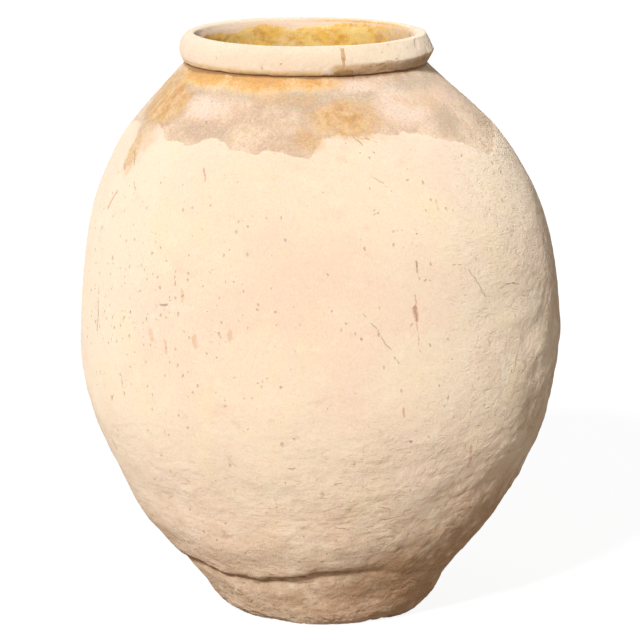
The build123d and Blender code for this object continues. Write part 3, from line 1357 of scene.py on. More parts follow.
# Dents and swellings pressed by hand, as (azimuth, height, half-size, depth), in degrees and mm
DENTS = (
    *((79, 152, 42, 4.5), (-80, 66, 26, 3.4), (62, 303, 15, 2.6), (62.8, 351, 9, 2.0), (70, 436, 20, 1.8)),
    *((58, 404, 16, 1.4), (66, 376, 18, -1.8), (76, 396, 16, 1.6), (52, 345, 18, -1.2), (-37, 455, 6, 0.8)),
    *((10, 425, 3, 0.7), (38, 205, 26, 2.0), (22, 240, 30, 1.6), (50, 170, 24, -1.8), (8, 140, 24, -1.6)),
    *((-20, 170, 30, 1.4), (-48, 150, 26, -1.6), (30, 118, 20, 2.2), (-5, 116, 18, -1.8)),
    *((-34, 112, 18, -1.4), (-58, 250, 26, 1.6), (-75, 210, 22, -1.4), (105, 240, 28, 2.2)),
    *((140, 330, 34, 1.8), (-120, 260, 30, 2.0), (-150, 170, 26, -2.0), (170, 210, 30, 2.0)),
    (120, 130, 22, -2.0),
)

# How strongly each kind of thin mark shows
MARK_STRENGTHS = {MarkKind.CRACK: 0.58, MarkKind.SCRATCH: 0.42, MarkKind.FLAKE: 0.42, MarkKind.RUST: 0.5}

# Thin marks: each one's width in mm, and then the (azimuth, height) of its corners, in degrees and mm
MARKS = {
    MarkKind.CRACK: (
        (1.6, (47.8, 472), (50.4, 475), (55.9, 472)),
        (1.8, (24.0, 520), (24.1, 509), (24.4, 498)),
        (1.6, (14.1, 672), (16.5, 661)),
        (1.6, (18.2, 670), (22.2, 663)),
        (3.0, (-40.5, 455), (-37.9, 457)),
        (1.8, (-66.3, 456), (-66.1, 428), (-66.1, 401)),
        (2.0, (-65, 637), (-60.8, 621)),
        (3.6, (9.6, 426), (10.0, 424)),
        (4.0, (22.0, 286.5), (22.4, 285.5)),
        (1.8, (150, 520), (153, 470)),
    ),
    MarkKind.SCRATCH: (
        (2.0, (37.8, 510), (40.4, 486), (43.1, 464)),
        (1.4, (33.7, 510), (37.7, 510)),
        (3.0, (23.0, 463), (23.1, 444)),
        (1.5, (10.3, 456), (13.0, 439), (16.6, 408), (18.5, 391)),
        (2.2, (16.8, 626), (18.7, 619), (21.1, 607)),
        (3.6, (-57.4, 601), (-56.1, 591)),
        (2.6, (-36.5, 495), (-36.2, 484)),
        (2.4, (-54.1, 351), (-54.6, 336)),
        (2.4, (14.8, 580), (16.2, 582)),
        (2.4, (28.5, 143), (31.4, 147)),
        (1.8, (4.7, 163), (14.4, 157)),
        (2.2, (15.8, 193), (20.1, 185)),
        (1.8, (17.1, 171), (25.1, 176)),
        (2.6, (-8, 252), (-6, 251)),
        (2.6, (4, 228), (6.3, 231)),
        (1.8, (-120, 540), (-116, 500), (-117, 470)),
        (1.8, (105, 330), (112, 300)),
    ),
    MarkKind.FLAKE: (
        (7.5, (-34.2, 477), (-33.8, 464)),
        (13.0, (-43.1, 419), (-42.6, 412)),
        (10.0, (-30.3, 421), (-30, 409)),
        (7.0, (-38.6, 409), (-38.2, 396)),
        (3.6, (33.7, 591), (33.4, 581)),
        (1.8, (-11.2, 284), (-12.0, 200), (-12.6, 123), (-12.1, 44)),
        (6.0, (-150, 430), (-149, 410)),
    ),
    MarkKind.RUST: (
        (8.5, (22.9, 461), (23.0, 453), (23.1, 446)),
        (2.2, (22.8, 478), (23.2, 430), (23.8, 404)),
        (5.0, (-32.1, 630), (-31, 616)),
        (5.0, (-67.5, 619), (-65.9, 613)),
        (5.6, (-65.8, 584), (-68.4, 561)),
        (4.6, (19.6, 332), (19.7, 320)),
        (5.5, (40.4, 267), (41.6, 237)),
        (5.0, (172, 400), (171, 372)),
    ),
}


@dataclass
class HandRelief:
    """What the potter's hands and the years have left on the outside of the wall.

    Attributes:
        noise: The noise that all of it is read from.
        coat_thickness: How thick the pale coat is, in metres.
        coat_step: Half the width of the slope at the coat's edge, in metres.
        slant: How steeply the strokes of the fingers go down to the right.
        degree: How wide a degree of the belly is, in mm.
        worked_below: The heights between which the wall gets rougher, downwards.
        worked_right: The same for its right-hand side.
        foot_band: The heights between which the crumbled foot starts, downwards.
        neck_fade: The heights between which the relief fades out under the collar, upwards.
        layers: Lumps, pats, smears and fine roughness. Each has its height in mm, what hard work adds to
            it, its width and height in metres, its shift, how many layers it has, and whether it slants.
    """

    noise: ClayNoise = field(default_factory=lambda: ClayNoise(11))
    coat_thickness: float = 0.8 * MM
    coat_step: float = 1.3 * MM
    slant: float = -0.12
    degree: float = 5.0
    worked_below: Range = (0.44, 0.17)
    worked_right: Range = (0.6, 0.48)
    foot_band: Range = (0.075, 0.045)
    neck_fade: Range = (0.742, 0.724)
    layers: tuple[tuple[float, float, float, float, float, int, bool], ...] = (
        (0.5, 1.9, 0.065, 0.05, 3.1, 1, False),
        (0.25, 0.75, 0.042, 0.028, 5.3, 1, True),
        (0.08, 0.14, 0.035, 0.012, 7.7, 1, True),
        (0.12, 0.5, 0.016, 0.011, 9.1, 3, True),
    )

    def coat_depth(self, azimuth: Numbers, height: Numbers, places: Numbers) -> Numbers:
        """Gives how far below the coat's edge each place is.

        Args:
            azimuth: Directions in degrees.
            height: Heights in metres.
            places: The same places as points.

        Returns:
            The distance in metres, positive on the coat.
        """
        broken = 2.5 * MM * self.noise.rough(places, 0.016, layers=2)
        return round_table(azimuth, COAT_EDGE) * MM + broken - height

    def groove(self, azimuth: Numbers, height: Numbers, places: Numbers) -> tuple[Numbers, Numbers]:
        """Gives the cut of the groove over the foot.

        Args:
            azimuth: Directions in degrees.
            height: Heights in metres.
            places: The same places as points.

        Returns:
            The change of height in metres, and how deep in the groove each place is, from 0 to 1.
        """
        level = places * FLAT
        middle = round_table(azimuth, FOOT_GROOVE, 1) * MM + 2.4 * MM * self.noise.rough(level, 0.03)
        uneven = 1 + 0.45 * self.noise.rough(level, 0.022, layers=2)
        over = height - middle
        inside = bell(over, np.where(over > 0, 4.6 * MM, 12 * MM))
        lip = 0.3 * bell(over - 15 * MM, 9 * MM)
        return round_table(azimuth, FOOT_GROOVE, 2) * MM * uneven * (lip - inside), inside

    def lift(self, azimuth: Numbers, height: Numbers, places: Numbers) -> tuple[Numbers, Numbers]:
        """Gives how far the surface stands out from the turned shape.

        Args:
            azimuth: Directions in degrees.
            height: Heights in metres.
            places: The same places as points of the turned shape.

        Returns:
            The lift in metres, and how deep in a hollow each place is, from 0 to 1.
        """
        read, rough = self.noise.at, self.noise.rough
        right_side = 0.75 * bell(azimuth - 74, 26) * eased(height, *self.worked_right)
        low = np.maximum(eased(height, *self.worked_below), right_side)
        right = 0.5 + 0.5 * np.sin(np.radians(azimuth))
        strong = low * (0.75 + 0.45 * right)
        slanted = places + np.outer(places[:, 0], (0, 0, self.slant))
        total = (1.5 + 1.7 * low) * read(places, 0.15, 0.12)
        for plain, added, across, up, shift, layers, slants in self.layers:
            at = slanted if slants else places
            total += (plain + added * strong) * rough(at + shift, across, up, layers)
        valley = np.clip(1 - np.abs(read(slanted + 2.9, 0.04, 0.018)) * 8, 0, 1)
        torn = valley * eased(read(slanted + 6.1, 0.03, 0.02), 0.2, 0.5) * (0.04 + 0.8 * strong)
        band = eased(height, *self.foot_band)
        crumbs = band * 1.2 * eased(read(places + 8.8, 0.011, 0.008), 0.38, 0.62)
        total += 0.6 * band * rough(places + 1.3, 0.016, 0.010) - torn - crumbs
        for middle, level, size, depth in DENTS:
            across = apart(azimuth, middle) * self.degree
            total -= depth * bell(np.hypot(across, height / MM - level), size)
        cut, inside = self.groove(azimuth, height, places)
        coat = eased(self.coat_depth(azimuth, height, places), -self.coat_step, self.coat_step)
        worn = 0.28 * rough(places + 4.4, 0.018, 0.012) * (1 - coat)
        top = eased(height, *self.neck_fade)
        # How deep in a hollow each place is; the material paints shade there
        hollow = np.clip(0.9 * torn + 0.8 * inside**1.5 + np.clip(crumbs, 0, 1) * 0.6, 0, 1)
        out = (total + worn) * MM * (0.25 + 0.75 * top)
        return out + cut + self.coat_thickness * (coat - 1), hollow


@dataclass(frozen=True)
class Course:
    """One ring of the clay wall.

    Attributes:
        node: The name of its node.
        low: The height of its lower joint, at the outside.
        high: The height of its upper joint, at the outside.
    """

    node: str
    low: float
    high: float


@dataclass
class JarWall:
    """The clay wall: six courses of coiled clay, with the hand's relief over their joints."""

    outline: JarOutline = field(default_factory=JarOutline)
    relief: HandRelief = field(default_factory=HandRelief)
    cuts: int = 13
    spacing: float = 2.3 * MM
    inner_spacing: float = 16 * MM
    floor_height: float = 0.024
    slab_radius: float = 0.098
    slab_taper: float = 0.012
    coat_limit: float = 0.05
    seam_step: float = 1.2 * MM
    mark_reach: float = 4 * MM
    mark_softness: float = 0.4 * MM
    joint_heights: Range = (0.0, 0.068, 0.2129, 0.3767, 0.5468, 0.698, 0.742)
    course_names: tuple[str, ...] = (
        "foot_course",
        "lower_wall",
        "belly_lower_wall",
        "belly_upper_wall",
        "shoulder_wall",
        "neck_course",
    )

    def skin(self, azimuth: Numbers, height: Numbers, lift: Numbers | float = 0.0) -> Numbers:
        """Gives points on the finished outside, or lifted off it.

        Args:
            azimuth: Directions in degrees.
            height: Heights in metres on the turned shape.
            lift: How far the points stand off the clay.

        Returns:
            The points, one to a row.
        """
        radius = self.outline.radius(height)
        rise, spread = self.outline.tilt(height)
        out = self.relief.lift(azimuth, height, ringed(azimuth, radius, height))[0] + lift
        moved = ringed(azimuth, radius + out * rise, height - out * spread, self.outline.centre(height))
        moved[:, 2] = np.maximum(moved[:, 2], 0)
        return moved

    def section(self, course: Course) -> tuple[list[Vector], int]:
        """Sets out the section of one course.

        Args:
            course: The course.

        Returns:
            The section's points as (radius, height), and how many of them lie on the outside.
        """
        outer = self.outline.evenly(course.low, course.high, self.spacing)
        inner = self.outline.evenly(course.low, course.high, self.inner_spacing)[::-1]
        inside = stations(*self.outline.inside(inner, self.outline.wall_thickness))
        if course.high == self.joint_heights[-1]:
            inside.insert(0, Vector((self.outline.throat_radius, course.high)))
        if course.low == 0:
            inside = [point for point in inside if point.y > self.floor_height + 2 * MM]
            radii = (inside[-1].x - 1.5 * MM, self.slab_radius + self.slab_taper, self.slab_radius)
            inside += stations(radii, (self.floor_height, self.floor_height, 0))
        return stations(self.outline.radius(outer), outer) + inside, len(outer)

    def build_course(self, course: Course) -> bpy.types.Mesh:
        """Builds the mesh of one course, with its relief, stains and seams.

        Args:
            course: The course.

        Returns:
            The mesh.
        """
        section, outer_count = self.section(course)
        spun = spin_section("clay_" + course.node, section, self.cuts)
        centre = self.outline.centre(np.clip(spun.heights, 0, self.outline.neck_height))
        places = ringed(spun.azimuths, spun.radii, spun.heights, centre)
        outside = spun.rows < outer_count
        places[outside] = self.skin(spun.azimuths[outside], spun.heights[outside])
        spun.move(places)
        ends = [0, outer_count - 1, outer_count, len(section) - 1]
        spun.crease([0, *range(outer_count - 1, len(section))] if course.low == 0 else ends)
        self.paint(spun, outside)
        self.match_seams(spun, outer_count, course)
        return spun.mesh

    def stains(self, azimuth: Numbers, height: Numbers) -> dict[Trace, Numbers]:
        """Gives what stains the clay at each place of the outside, and where shade is painted on it.

        Args:
            azimuth: Directions in degrees.
            height: Heights in metres on the turned shape.

        Returns:
            The strength of each stain.
        """
        places = ringed(azimuth, self.outline.radius(height), height)
        found = {trace: np.zeros(len(height)) for trace in STAINS}
        for trace, zones in ZONES.items():
            for middle, level, half_width, half_height, strength in zones:
                reach = np.hypot(apart(azimuth, middle) / half_width, (height / MM - level) / half_height)
                found[trace] = np.maximum(found[trace], strength * np.exp(-0.5 * reach**3))
        depth = self.relief.coat_depth(azimuth, height, places)
        found[Trace.COAT] = np.clip(depth, -self.coat_limit, self.coat_limit)
        # Painted shade in the crevice under the collar, over the relief's hollows
        reach = (4.4 + 2.6 * self.relief.noise.rough(places * FLAT, 0.03)) * MM
        reach += 6 * MM * bell(azimuth + 60, 14) + 3.5 * MM * eased(azimuth, 8, 20) * eased(azimuth, 90, 60)
        crevice_shade = 0.95 * eased(height, 0.7415 - np.maximum(reach, 2.5 * MM), 0.7405)
        found[Trace.HOLLOW] = np.maximum(self.relief.lift(azimuth, height, places)[1], crevice_shade)
        return found

    def paint(self, spun: SpunMesh, outside: Numbers) -> None:
        """Keeps the stains of each vertex of the outside, and none elsewhere.

        Args:
            spun: The course's mesh.
            outside: Which vertices lie on the outside.
        """
        for trace, values in self.stains(spun.azimuths[outside], spun.heights[outside]).items():
            kept = np.full(len(outside), -self.coat_limit if trace is Trace.COAT else 0.0)
            kept[outside] = values
            spun.write(trace, kept)

    def match_seams(self, spun: SpunMesh, outer_count: int, course: Course) -> None:
        """Gives the outside's edge rings the same normals in both courses, so that no seam shows.

        Args:
            spun: The course's mesh.
            outer_count: How many rows lie on the outside.
            course: The course.
        """
        ends = {0: course.low, outer_count - 1: course.high}
        rings = [row for row, level in ends.items() if level not in (0.0, self.joint_heights[-1])]
        ring = np.isin(spun.rows, rings)
        azimuth, height = spun.azimuths[ring], spun.heights[ring]
        up = self.skin(azimuth, height + self.seam_step) - self.skin(azimuth, height - self.seam_step)
        across = np.degrees(self.seam_step / self.outline.radius(height))
        side = self.skin(azimuth + across, height) - self.skin(azimuth - across, height)
        normal = np.cross(side, up)
        normals = np.zeros((len(spun.rows), 3))
        normals[ring] = normal / np.linalg.norm(normal, axis=1)[:, None]
        mesh = spun.mesh
        corners = np.zeros(len(mesh.loops), np.int32)
        mesh.loops.foreach_get("vertex_index", corners)
        starts = np.zeros(len(mesh.polygons), np.int32)
        mesh.polygons.foreach_get("loop_start", starts)
        face = np.repeat(np.arange(len(starts)), np.diff(np.append(starts, len(corners))))
        inner = np.zeros(len(starts), bool)
        np.logical_or.at(inner, face, spun.rows[corners] >= outer_count)
        custom = normals[corners]
        custom[inner[face]] = 0
        mesh.normals_split_custom_set(custom.tolist())

    def placed_marks(self, low: float, high: float) -> list[PlacedMark]:
        """Gives the marks that touch a stretch of the wall.

        Args:
            low: The stretch's lowest height.
            high: The stretch's highest height.

        Returns:
            The marks' straight pieces, in place.
        """
        placed = []
        for kind, marks in MARKS.items():
            for width, *points in marks:
                azimuths, levels = np.array(points).T
                if levels.max() * MM < low - self.mark_reach or levels.min() * MM > high + self.mark_reach:
                    continue
                corners = [Vector(corner) for corner in self.skin(azimuths, levels * MM)]
                for start, end in zip(corners, corners[1:]):
                    placed.append(PlacedMark(kind, start, end - start, width * MM / 2 + self.mark_softness))
        return placed

    def build(self, finish: ClayFinish) -> None:
        """Builds and dresses all the courses.

        Args:
            finish: Its finish.
        """
        for each in zip(self.course_names, self.joint_heights, self.joint_heights[1:]):
            course = Course(*each)
            marks = self.placed_marks(course.low, course.high)
            material = finish.material("fired clay, " + course.node.replace("_", " "), marks)
            place_piece(self.build_course(course), material, course.node)


@dataclass
class BaseSlab:
    """The round floor slab, gritty on its underside."""

    wall: JarWall
    cuts: int = 1
    grit_height: float = 1.1 * MM
    grit_limit: float = 1.4 * MM

    def build(self, finish: ClayFinish) -> None:
        """Builds and dresses the slab.

        Args:
            finish: Its finish.
        """
        radius, top = self.wall.slab_radius, self.wall.floor_height
        under = [Vector((r, 0)) for r in np.linspace(0, radius, 24)]
        over = [Vector((r, top)) for r in np.linspace(radius + self.wall.slab_taper, 0, 12)]
        spun = spin_section("clay_base_slab", under + over, self.cuts, closed=False)
        spun.crease([len(under) - 1, len(under)])
        places = read_places(spun.mesh)
        below = spun.rows < len(under) - 1
        grit = self.wall.relief.noise.rough(places[below] + 2.2, 0.03, layers=4)
        places[below, 2] = np.clip(self.grit_height * grit, 0, self.grit_limit)
        places[:, 0] += self.wall.outline.foot_lean
        spun.move(places)
        strengths = {Trace.PITS: 0.8, Trace.SOOT_AND_SHADE: 0.5, Trace.COAT: -self.wall.coat_limit}
        for trace in STAINS:
            spun.write(trace, np.full(len(places), strengths.get(trace, 0.0)))
        place_piece(spun.mesh, finish.material("fired clay, base slab"), "base_slab")


@dataclass
class RimCollar:
    """The rolled collar round the mouth: soft on the left, and cut to a corner on the right."""

    wall: JarWall
    low: float = 0.7422
    high: float = 0.780
    bulge_height: float = 0.7572
    bulge_radius: float = 0.171
    foot_radius: float = 0.163
    crest_radius: float = 0.160
    lip_round: float = 4 * MM
    roll_share: float = 0.68
    cuts: int = 11
    corner_azimuths: Range = (28.0, 112.0)
    cracks: tuple[tuple[Range, Range, float], ...] = (
        ((30, 0.031), (40, 0.026), 1.0 * MM),
        ((40, 0.026), (49, 0.0225), 0.9 * MM),
    )

    def __post_init__(self) -> None:
        """Sets out the section."""
        throat, lip_foot = self.wall.outline.throat_radius, self.high - self.lip_round
        bore = [Vector((throat, z)) for z in np.linspace(self.low, lip_foot, 18)]
        lip_top = Vector((throat + self.lip_round, self.high))
        lip_middle = Vector((lip_top.x, lip_foot)) + self.lip_round * Vector((-1, 1)).normalized()
        lip = arc_through(bore[-1], lip_middle, lip_top, 5)
        crest = [Vector((r, self.high)) for r in np.linspace(lip_top.x, self.crest_radius, 7)]
        bulge = Vector((self.bulge_radius, self.bulge_height))
        out = self.roll_share * (bulge.x - self.crest_radius)
        down = (self.roll_share - 1) * (self.high - bulge.y)
        upper = arc_through(crest[-1], crest[-1] + Vector((out, down)), bulge, 16)
        lower_middle = Vector((self.bulge_radius - 1.5 * MM, (self.low + self.bulge_height) / 2))
        lower = arc_through(bulge, lower_middle, Vector((self.foot_radius, self.low)), 12)
        seat = [Vector((r, self.low)) for r in np.linspace(self.foot_radius, throat, 6)][1:-1]
        top = bore + lip[1:] + crest[1:]
        outer = top + upper[1:] + lower[1:]
        self.points = outer + seat
        self.foot_row = len(outer) - 1
        self.outer_radii, self.outer_heights = np.array([tuple(point) for point in outer[len(top) - 1 :]]).T
        steps = np.hypot(np.diff(self.outer_radii), np.diff(self.outer_heights))
        self.outer_lengths = np.concatenate(([0], np.cumsum(steps)))

    def turned(self, along: Numbers) -> tuple[Numbers, Numbers]:
        """Gives the radius and height of the turned section at lengths down its outside."""
        radius = np.interp(along, self.outer_lengths, self.outer_radii)
        return radius, np.interp(along, self.outer_lengths, self.outer_heights)

    def shaped(self, azimuth: Numbers, radius: Numbers, height: Numbers) -> tuple[Numbers, Numbers]:
        """Gives a point of the turned section the collar's hand-made unevenness.

        Args:
            azimuth: Directions in degrees.
            radius: Radii on the turned section.
            height: Heights on the turned section.

        Returns:
            The new radius and height.
        """
        places = ringed(azimuth, radius, height)
        read, level = self.wall.relief.noise.at, places * FLAT
        throat = self.wall.outline.throat_radius
        outside = eased(radius, throat + 2 * MM, throat + 10 * MM)
        start, end = self.corner_azimuths
        corner = eased(azimuth, start - 14, start + 10) * eased(azimuth, end + 16, end - 10)
        above = np.clip((self.high - height) / (self.high - self.bulge_height), 0, 1)
        chord = self.crest_radius + (self.bulge_radius - self.crest_radius) * above
        climb = np.clip((height - self.low) / (self.bulge_height - self.low), 0, 1) ** 1.1
        slope = self.foot_radius + (self.bulge_radius - self.foot_radius) * climb - 1.2 * MM * (1 - above)
        flat = np.where(height > self.bulge_height, chord, slope)
        is_outer = eased(radius, self.crest_radius - 2 * MM, self.crest_radius)
        radius = radius + corner * is_outer * (flat - radius) * 0.9
        sway = 1.1 * read(places * (1, 1, 0.3), 0.09) + 0.6 * read(places + 2, 0.03, 0.02)
        sway += 0.3 * read(places + 6, 0.010, 0.007) - 4.2 * bell(apart(azimuth, -95), 42)
        chips = -0.9 * eased(read(places + 9, 0.014, 0.010), 0.42, 0.62)
        base = eased(height, self.low, self.low + 5 * MM)
        radius = radius + outside * (sway + chips) * MM * (0.35 + 0.65 * base)
        rise = 0.8 * MM * read(level + 4, 0.10) + 0.3 * MM * read(level + 1, 0.03)
        ragged = 1.3 * MM * read(level + 8, 0.022) * (1 - base) * outside
        flare = self.wall.outline.lip_flare(height) * eased(radius, throat + 15 * MM, throat + 3 * MM)
        raised = np.minimum(rise, 0.9 * MM) * eased(height, self.low + 6 * MM, self.high)
        return radius + flare, height + raised + np.clip(ragged, -0.2 * MM, 1.3 * MM)

    def skin(self, azimuth: Numbers, along: Numbers, lift: Numbers | float = 0.0) -> Numbers:
        """Gives points on the collar's outside.

        Args:
            azimuth: Directions in degrees.
            along: Lengths down the section from the crest's outer edge, in metres.
            lift: How far the points stand off the clay.

        Returns:
            The points, one to a row.
        """
        step = 1.5 * MM
        (wide, low), (narrow, high) = self.turned(along + step), self.turned(along - step)
        out, down = wide - narrow, high - low
        length = np.hypot(out, down)
        radius, height = self.shaped(azimuth, *self.turned(along))
        radius, height = radius + lift * down / length, height + lift * out / length
        return ringed(azimuth, radius, height, -self.wall.outline.mouth_lean)

    def build(self, finish: ClayFinish) -> None:
        """Builds and dresses the collar.

        Args:
            finish: Its finish.
        """
        spun = spin_section("clay_rim_collar", self.points, self.cuts)
        radius, height = self.shaped(spun.azimuths, spun.radii, spun.heights)
        spun.move(ringed(spun.azimuths, radius, height, -self.wall.outline.mouth_lean))
        spun.crease([0, self.foot_row])
        for trace, values in self.stains(spun.azimuths, spun.radii, spun.heights).items():
            spun.write(trace, values)
        marks = [PlacedMark(MarkKind.CRACK, *self.between(*ends), width) for *ends, width in self.cracks]
        material = finish.material("fired clay, rim collar", marks)
        place_piece(spun.mesh, material, "rim_collar")

    def stains(self, azimuth: Numbers, radius: Numbers, height: Numbers) -> dict[Trace, Numbers]:
        """Gives what stains the collar at each place, and where shade is painted on it.

        Args:
            azimuth: Directions in degrees.
            radius: Radii on the turned section.
            height: Heights on the turned section.

        Returns:
            The strength of each stain.
        """
        throat = self.wall.outline.throat_radius
        inner = eased(radius, throat + 3 * MM, throat + 0.5 * MM)
        outer = 1 - inner
        back = eased(np.abs(apart(azimuth, 140)), 45, 20)
        amber = inner * np.maximum(back, 0.4 * eased(height, 0.776, 0.768))
        under = eased(height, 0.754, 0.745) * outer
        amber = np.maximum(amber, 0.75 * under * eased(azimuth, 16, 4))
        right = eased(azimuth, 18, 30) * eased(azimuth, 112, 96)
        # The lower facet on the right: an ochre stain, darkened with painted shade through ash and the sooty
        # stain
        facet_stain_and_shade = right * eased(height, 0.762, 0.754) * outer
        # The glaze run's ochre stain, carried on to the right as painted shade under the collar
        run = 1.2 * eased(azimuth, 9, 16) * eased(azimuth, 62, 26) * eased(height, 0.761, 0.751) * outer
        # Painted shade in the wedge under the collar's right side
        wedge_shade = eased(azimuth, 9, 16) * eased(azimuth, 58, 22) * eased(height, 0.7560, 0.7475)
        # Rose on the underside of the roll, with painted shade
        blush_and_shade = eased(azimuth, 30, 10) * eased(azimuth, -85, -65) * eased(height, 0.7505, 0.744) * outer
        coat = np.where(right > 0.5, 0.05 * eased(height, 0.751, 0.760) - 0.004, 0.02)
        return {
            Trace.AMBER: amber,
            Trace.OCHRE: np.maximum(0.45 * facet_stain_and_shade, run),
            Trace.ROSE: np.maximum(0.45, blush_and_shade),
            Trace.ASH: 0.8 * facet_stain_and_shade * eased(azimuth, 40, 75),
            Trace.BARE: np.zeros(len(azimuth)),
            Trace.PITS: np.full(len(azimuth), 0.1),
            Trace.SOOT_AND_SHADE: np.maximum.reduce([facet_stain_and_shade * eased(azimuth, 20, 70), 0.7 * run, 0.35 * blush_and_shade]),
            # Painted shade at the collar's foot and in the wedge
            Trace.HOLLOW: np.maximum(0.85 * eased(height, 0.7465, 0.7425), 0.62 * wedge_shade) * outer,
            Trace.COAT: coat * outer + 0.01 * inner,
        }

    def stains_along(self, azimuth: Numbers, along: Numbers) -> dict[Trace, Numbers]:
        """Gives what stains the collar's outside, and where shade is painted on it, at lengths down its
        section.
        """
        return self.stains(azimuth, *self.turned(along))

    def between(self, first: Range, last: Range) -> tuple[Vector, Vector]:
        """Gives the start and the run of a mark between two (azimuth, length) places on the outside."""
        start, end = self.skin(*np.array((first, last)).T)
        return Vector(start), Vector(end - start)


@dataclass
class InteriorGlaze:
    """The honey glaze that lines the jar, from its floor to a ragged edge under the lip.

    Attributes:
        wall: The wall that it lines.
        fit: How far it stands off the clay, in metres.
        thickness: How thick it is, in metres.
        top: The height where its section ends, in metres.
        cuts: How many cuts divide each step of its turn.
        edge: The (azimuth, height in mm) of its upper edge, once round.
        worn_band: The (azimuth, depth in mm) of the worn band under that edge, once round.
    """

    wall: JarWall
    fit: float = 0.2 * MM
    thickness: float = 1.2 * MM
    top: float = 0.776
    cuts: int = 7
    edge: tuple[Range, ...] = (
        *((-175, 773), (-168, 775.5), (-158, 775.5), (-148, 774), (-140, 771), (-128, 771), (-115, 771)),
        *((-95, 768), (-60, 768), (-30, 764), (0, 768), (30, 765), (60, 769), (95, 772), (115, 775)),
        *((140, 775.8), (160, 775.5), (170, 774)),
    )
    worn_band: tuple[Range, ...] = (
        *((-178, 9), (-170, 8), (-158, 3), (-148, 5), (-137, 8), (-118, 4), (-60, 5), (60, 5)),
        *((117, 1), (160, 2), (172, 6)),
    )

    def side(self, depth: float, floor: float, spacing: float) -> list[Vector]:
        """Sets out one side of the lining's section, from the middle of the floor to the top.

        Args:
            depth: How far inside the clay's outside it lies.
            floor: The height of its floor.
            spacing: The length between two points.

        Returns:
            The points as (radius, height).
        """
        outline = self.wall.outline
        every = stations(*outline.inside(outline.evenly(0, outline.neck_height, spacing), depth))
        wall = [point for point in every if point.y > floor + 2 * MM]
        clear = outline.throat_radius - (depth - outline.wall_thickness)
        corner = Vector((wall[0].x - 1.2 * MM, floor))
        flat = [Vector((r, floor)) for r in np.linspace(0, corner.x - 4 * MM, 9)]
        throat = [Vector((clear, z)) for z in np.linspace(outline.neck_height, self.top, 18)]
        return flat + [corner] + wall + throat

    def build(self, finish: HoneyGlazeFinish) -> None:
        """Builds and dresses the lining.

        Args:
            finish: Its finish.
        """
        wall, outline, noise = self.wall, self.wall.outline, self.wall.relief.noise
        behind = self.side(outline.wall_thickness + self.fit, wall.floor_height + self.fit, 26 * MM)
        inset = self.fit + self.thickness
        face = self.side(outline.wall_thickness + inset, wall.floor_height + inset, 9 * MM)
        spun = spin_section("honey_lining", behind + face[::-1], self.cuts, closed=False)
        azimuth, heights, inner = spun.azimuths, spun.heights, spun.rows >= len(behind)
        around = ringed(azimuth, spun.radii, heights)
        level = around * FLAT
        edge = round_table(azimuth, self.edge) * MM + 1.2 * MM * noise.rough(level, 0.014)
        cover = eased(heights, edge + 0.8 * MM, edge - 0.8 * MM)
        ripple = 0.35 + 0.5 * noise.at(around, 0.09, 0.018) + 0.45 * noise.at(around + 5, 0.05, 0.04)
        ripple = ripple * MM * eased(heights, 0.03, 0.05) * eased(heights, 0.775, 0.74)
        sunk = (1 - cover) * np.where(inner, 2.0 * MM, 1.6 * MM)
        out = sunk - np.clip(np.where(inner, ripple, 0), 0, 1.5 * MM) + outline.lip_flare(heights)
        centre = outline.centre(np.clip(heights, 0, outline.neck_height))
        spun.move(ringed(azimuth, spun.radii + out, heights, centre))
        spun.crease([len(behind) - 1, len(behind)])
        # Painted shade on the left inner wall under the lip, and darker towards the floor
        dark = 0.32 * bell(apart(azimuth, -112), 11) * eased(heights, 0.70, 0.75)
        deep = round_table(azimuth, self.worn_band) * (1 + 0.5 * noise.rough(level + 3, 0.04)) * MM
        bare = eased(heights, edge - np.maximum(deep, 1 * MM), edge - 0.4 * deep) * 0.95
        speck = 0.45 * bell(apart(azimuth, 118), 22) * eased(heights, 0.72, 0.75)
        spun.write(Trace.SOOT_AND_SHADE, np.maximum(dark, 0.75 * eased(heights, 0.12, 0.03)))
        spun.write(Trace.BARE, np.maximum(bare, speck) * eased(heights, 0.60, 0.72) + 0.12)
        place_piece(spun.mesh, finish.material("honey glaze lining"), "interior_glaze")


@dataclass(frozen=True)
class FilmPatch:
    """A patch of glaze laid on a surface.

    Attributes:
        azimuths: Where it starts and ends, in degrees.
        along: Where it starts and ends along the surface, in metres.
        shape: Gives, from places in degrees and metres, how far inside its outline each lies, in mm.
        full_end: Whether it stays thick up to where it ends along the surface.
    """

    azimuths: Range
    along: Range
    shape: Callable[[Numbers, Numbers], Numbers]
    full_end: bool = False


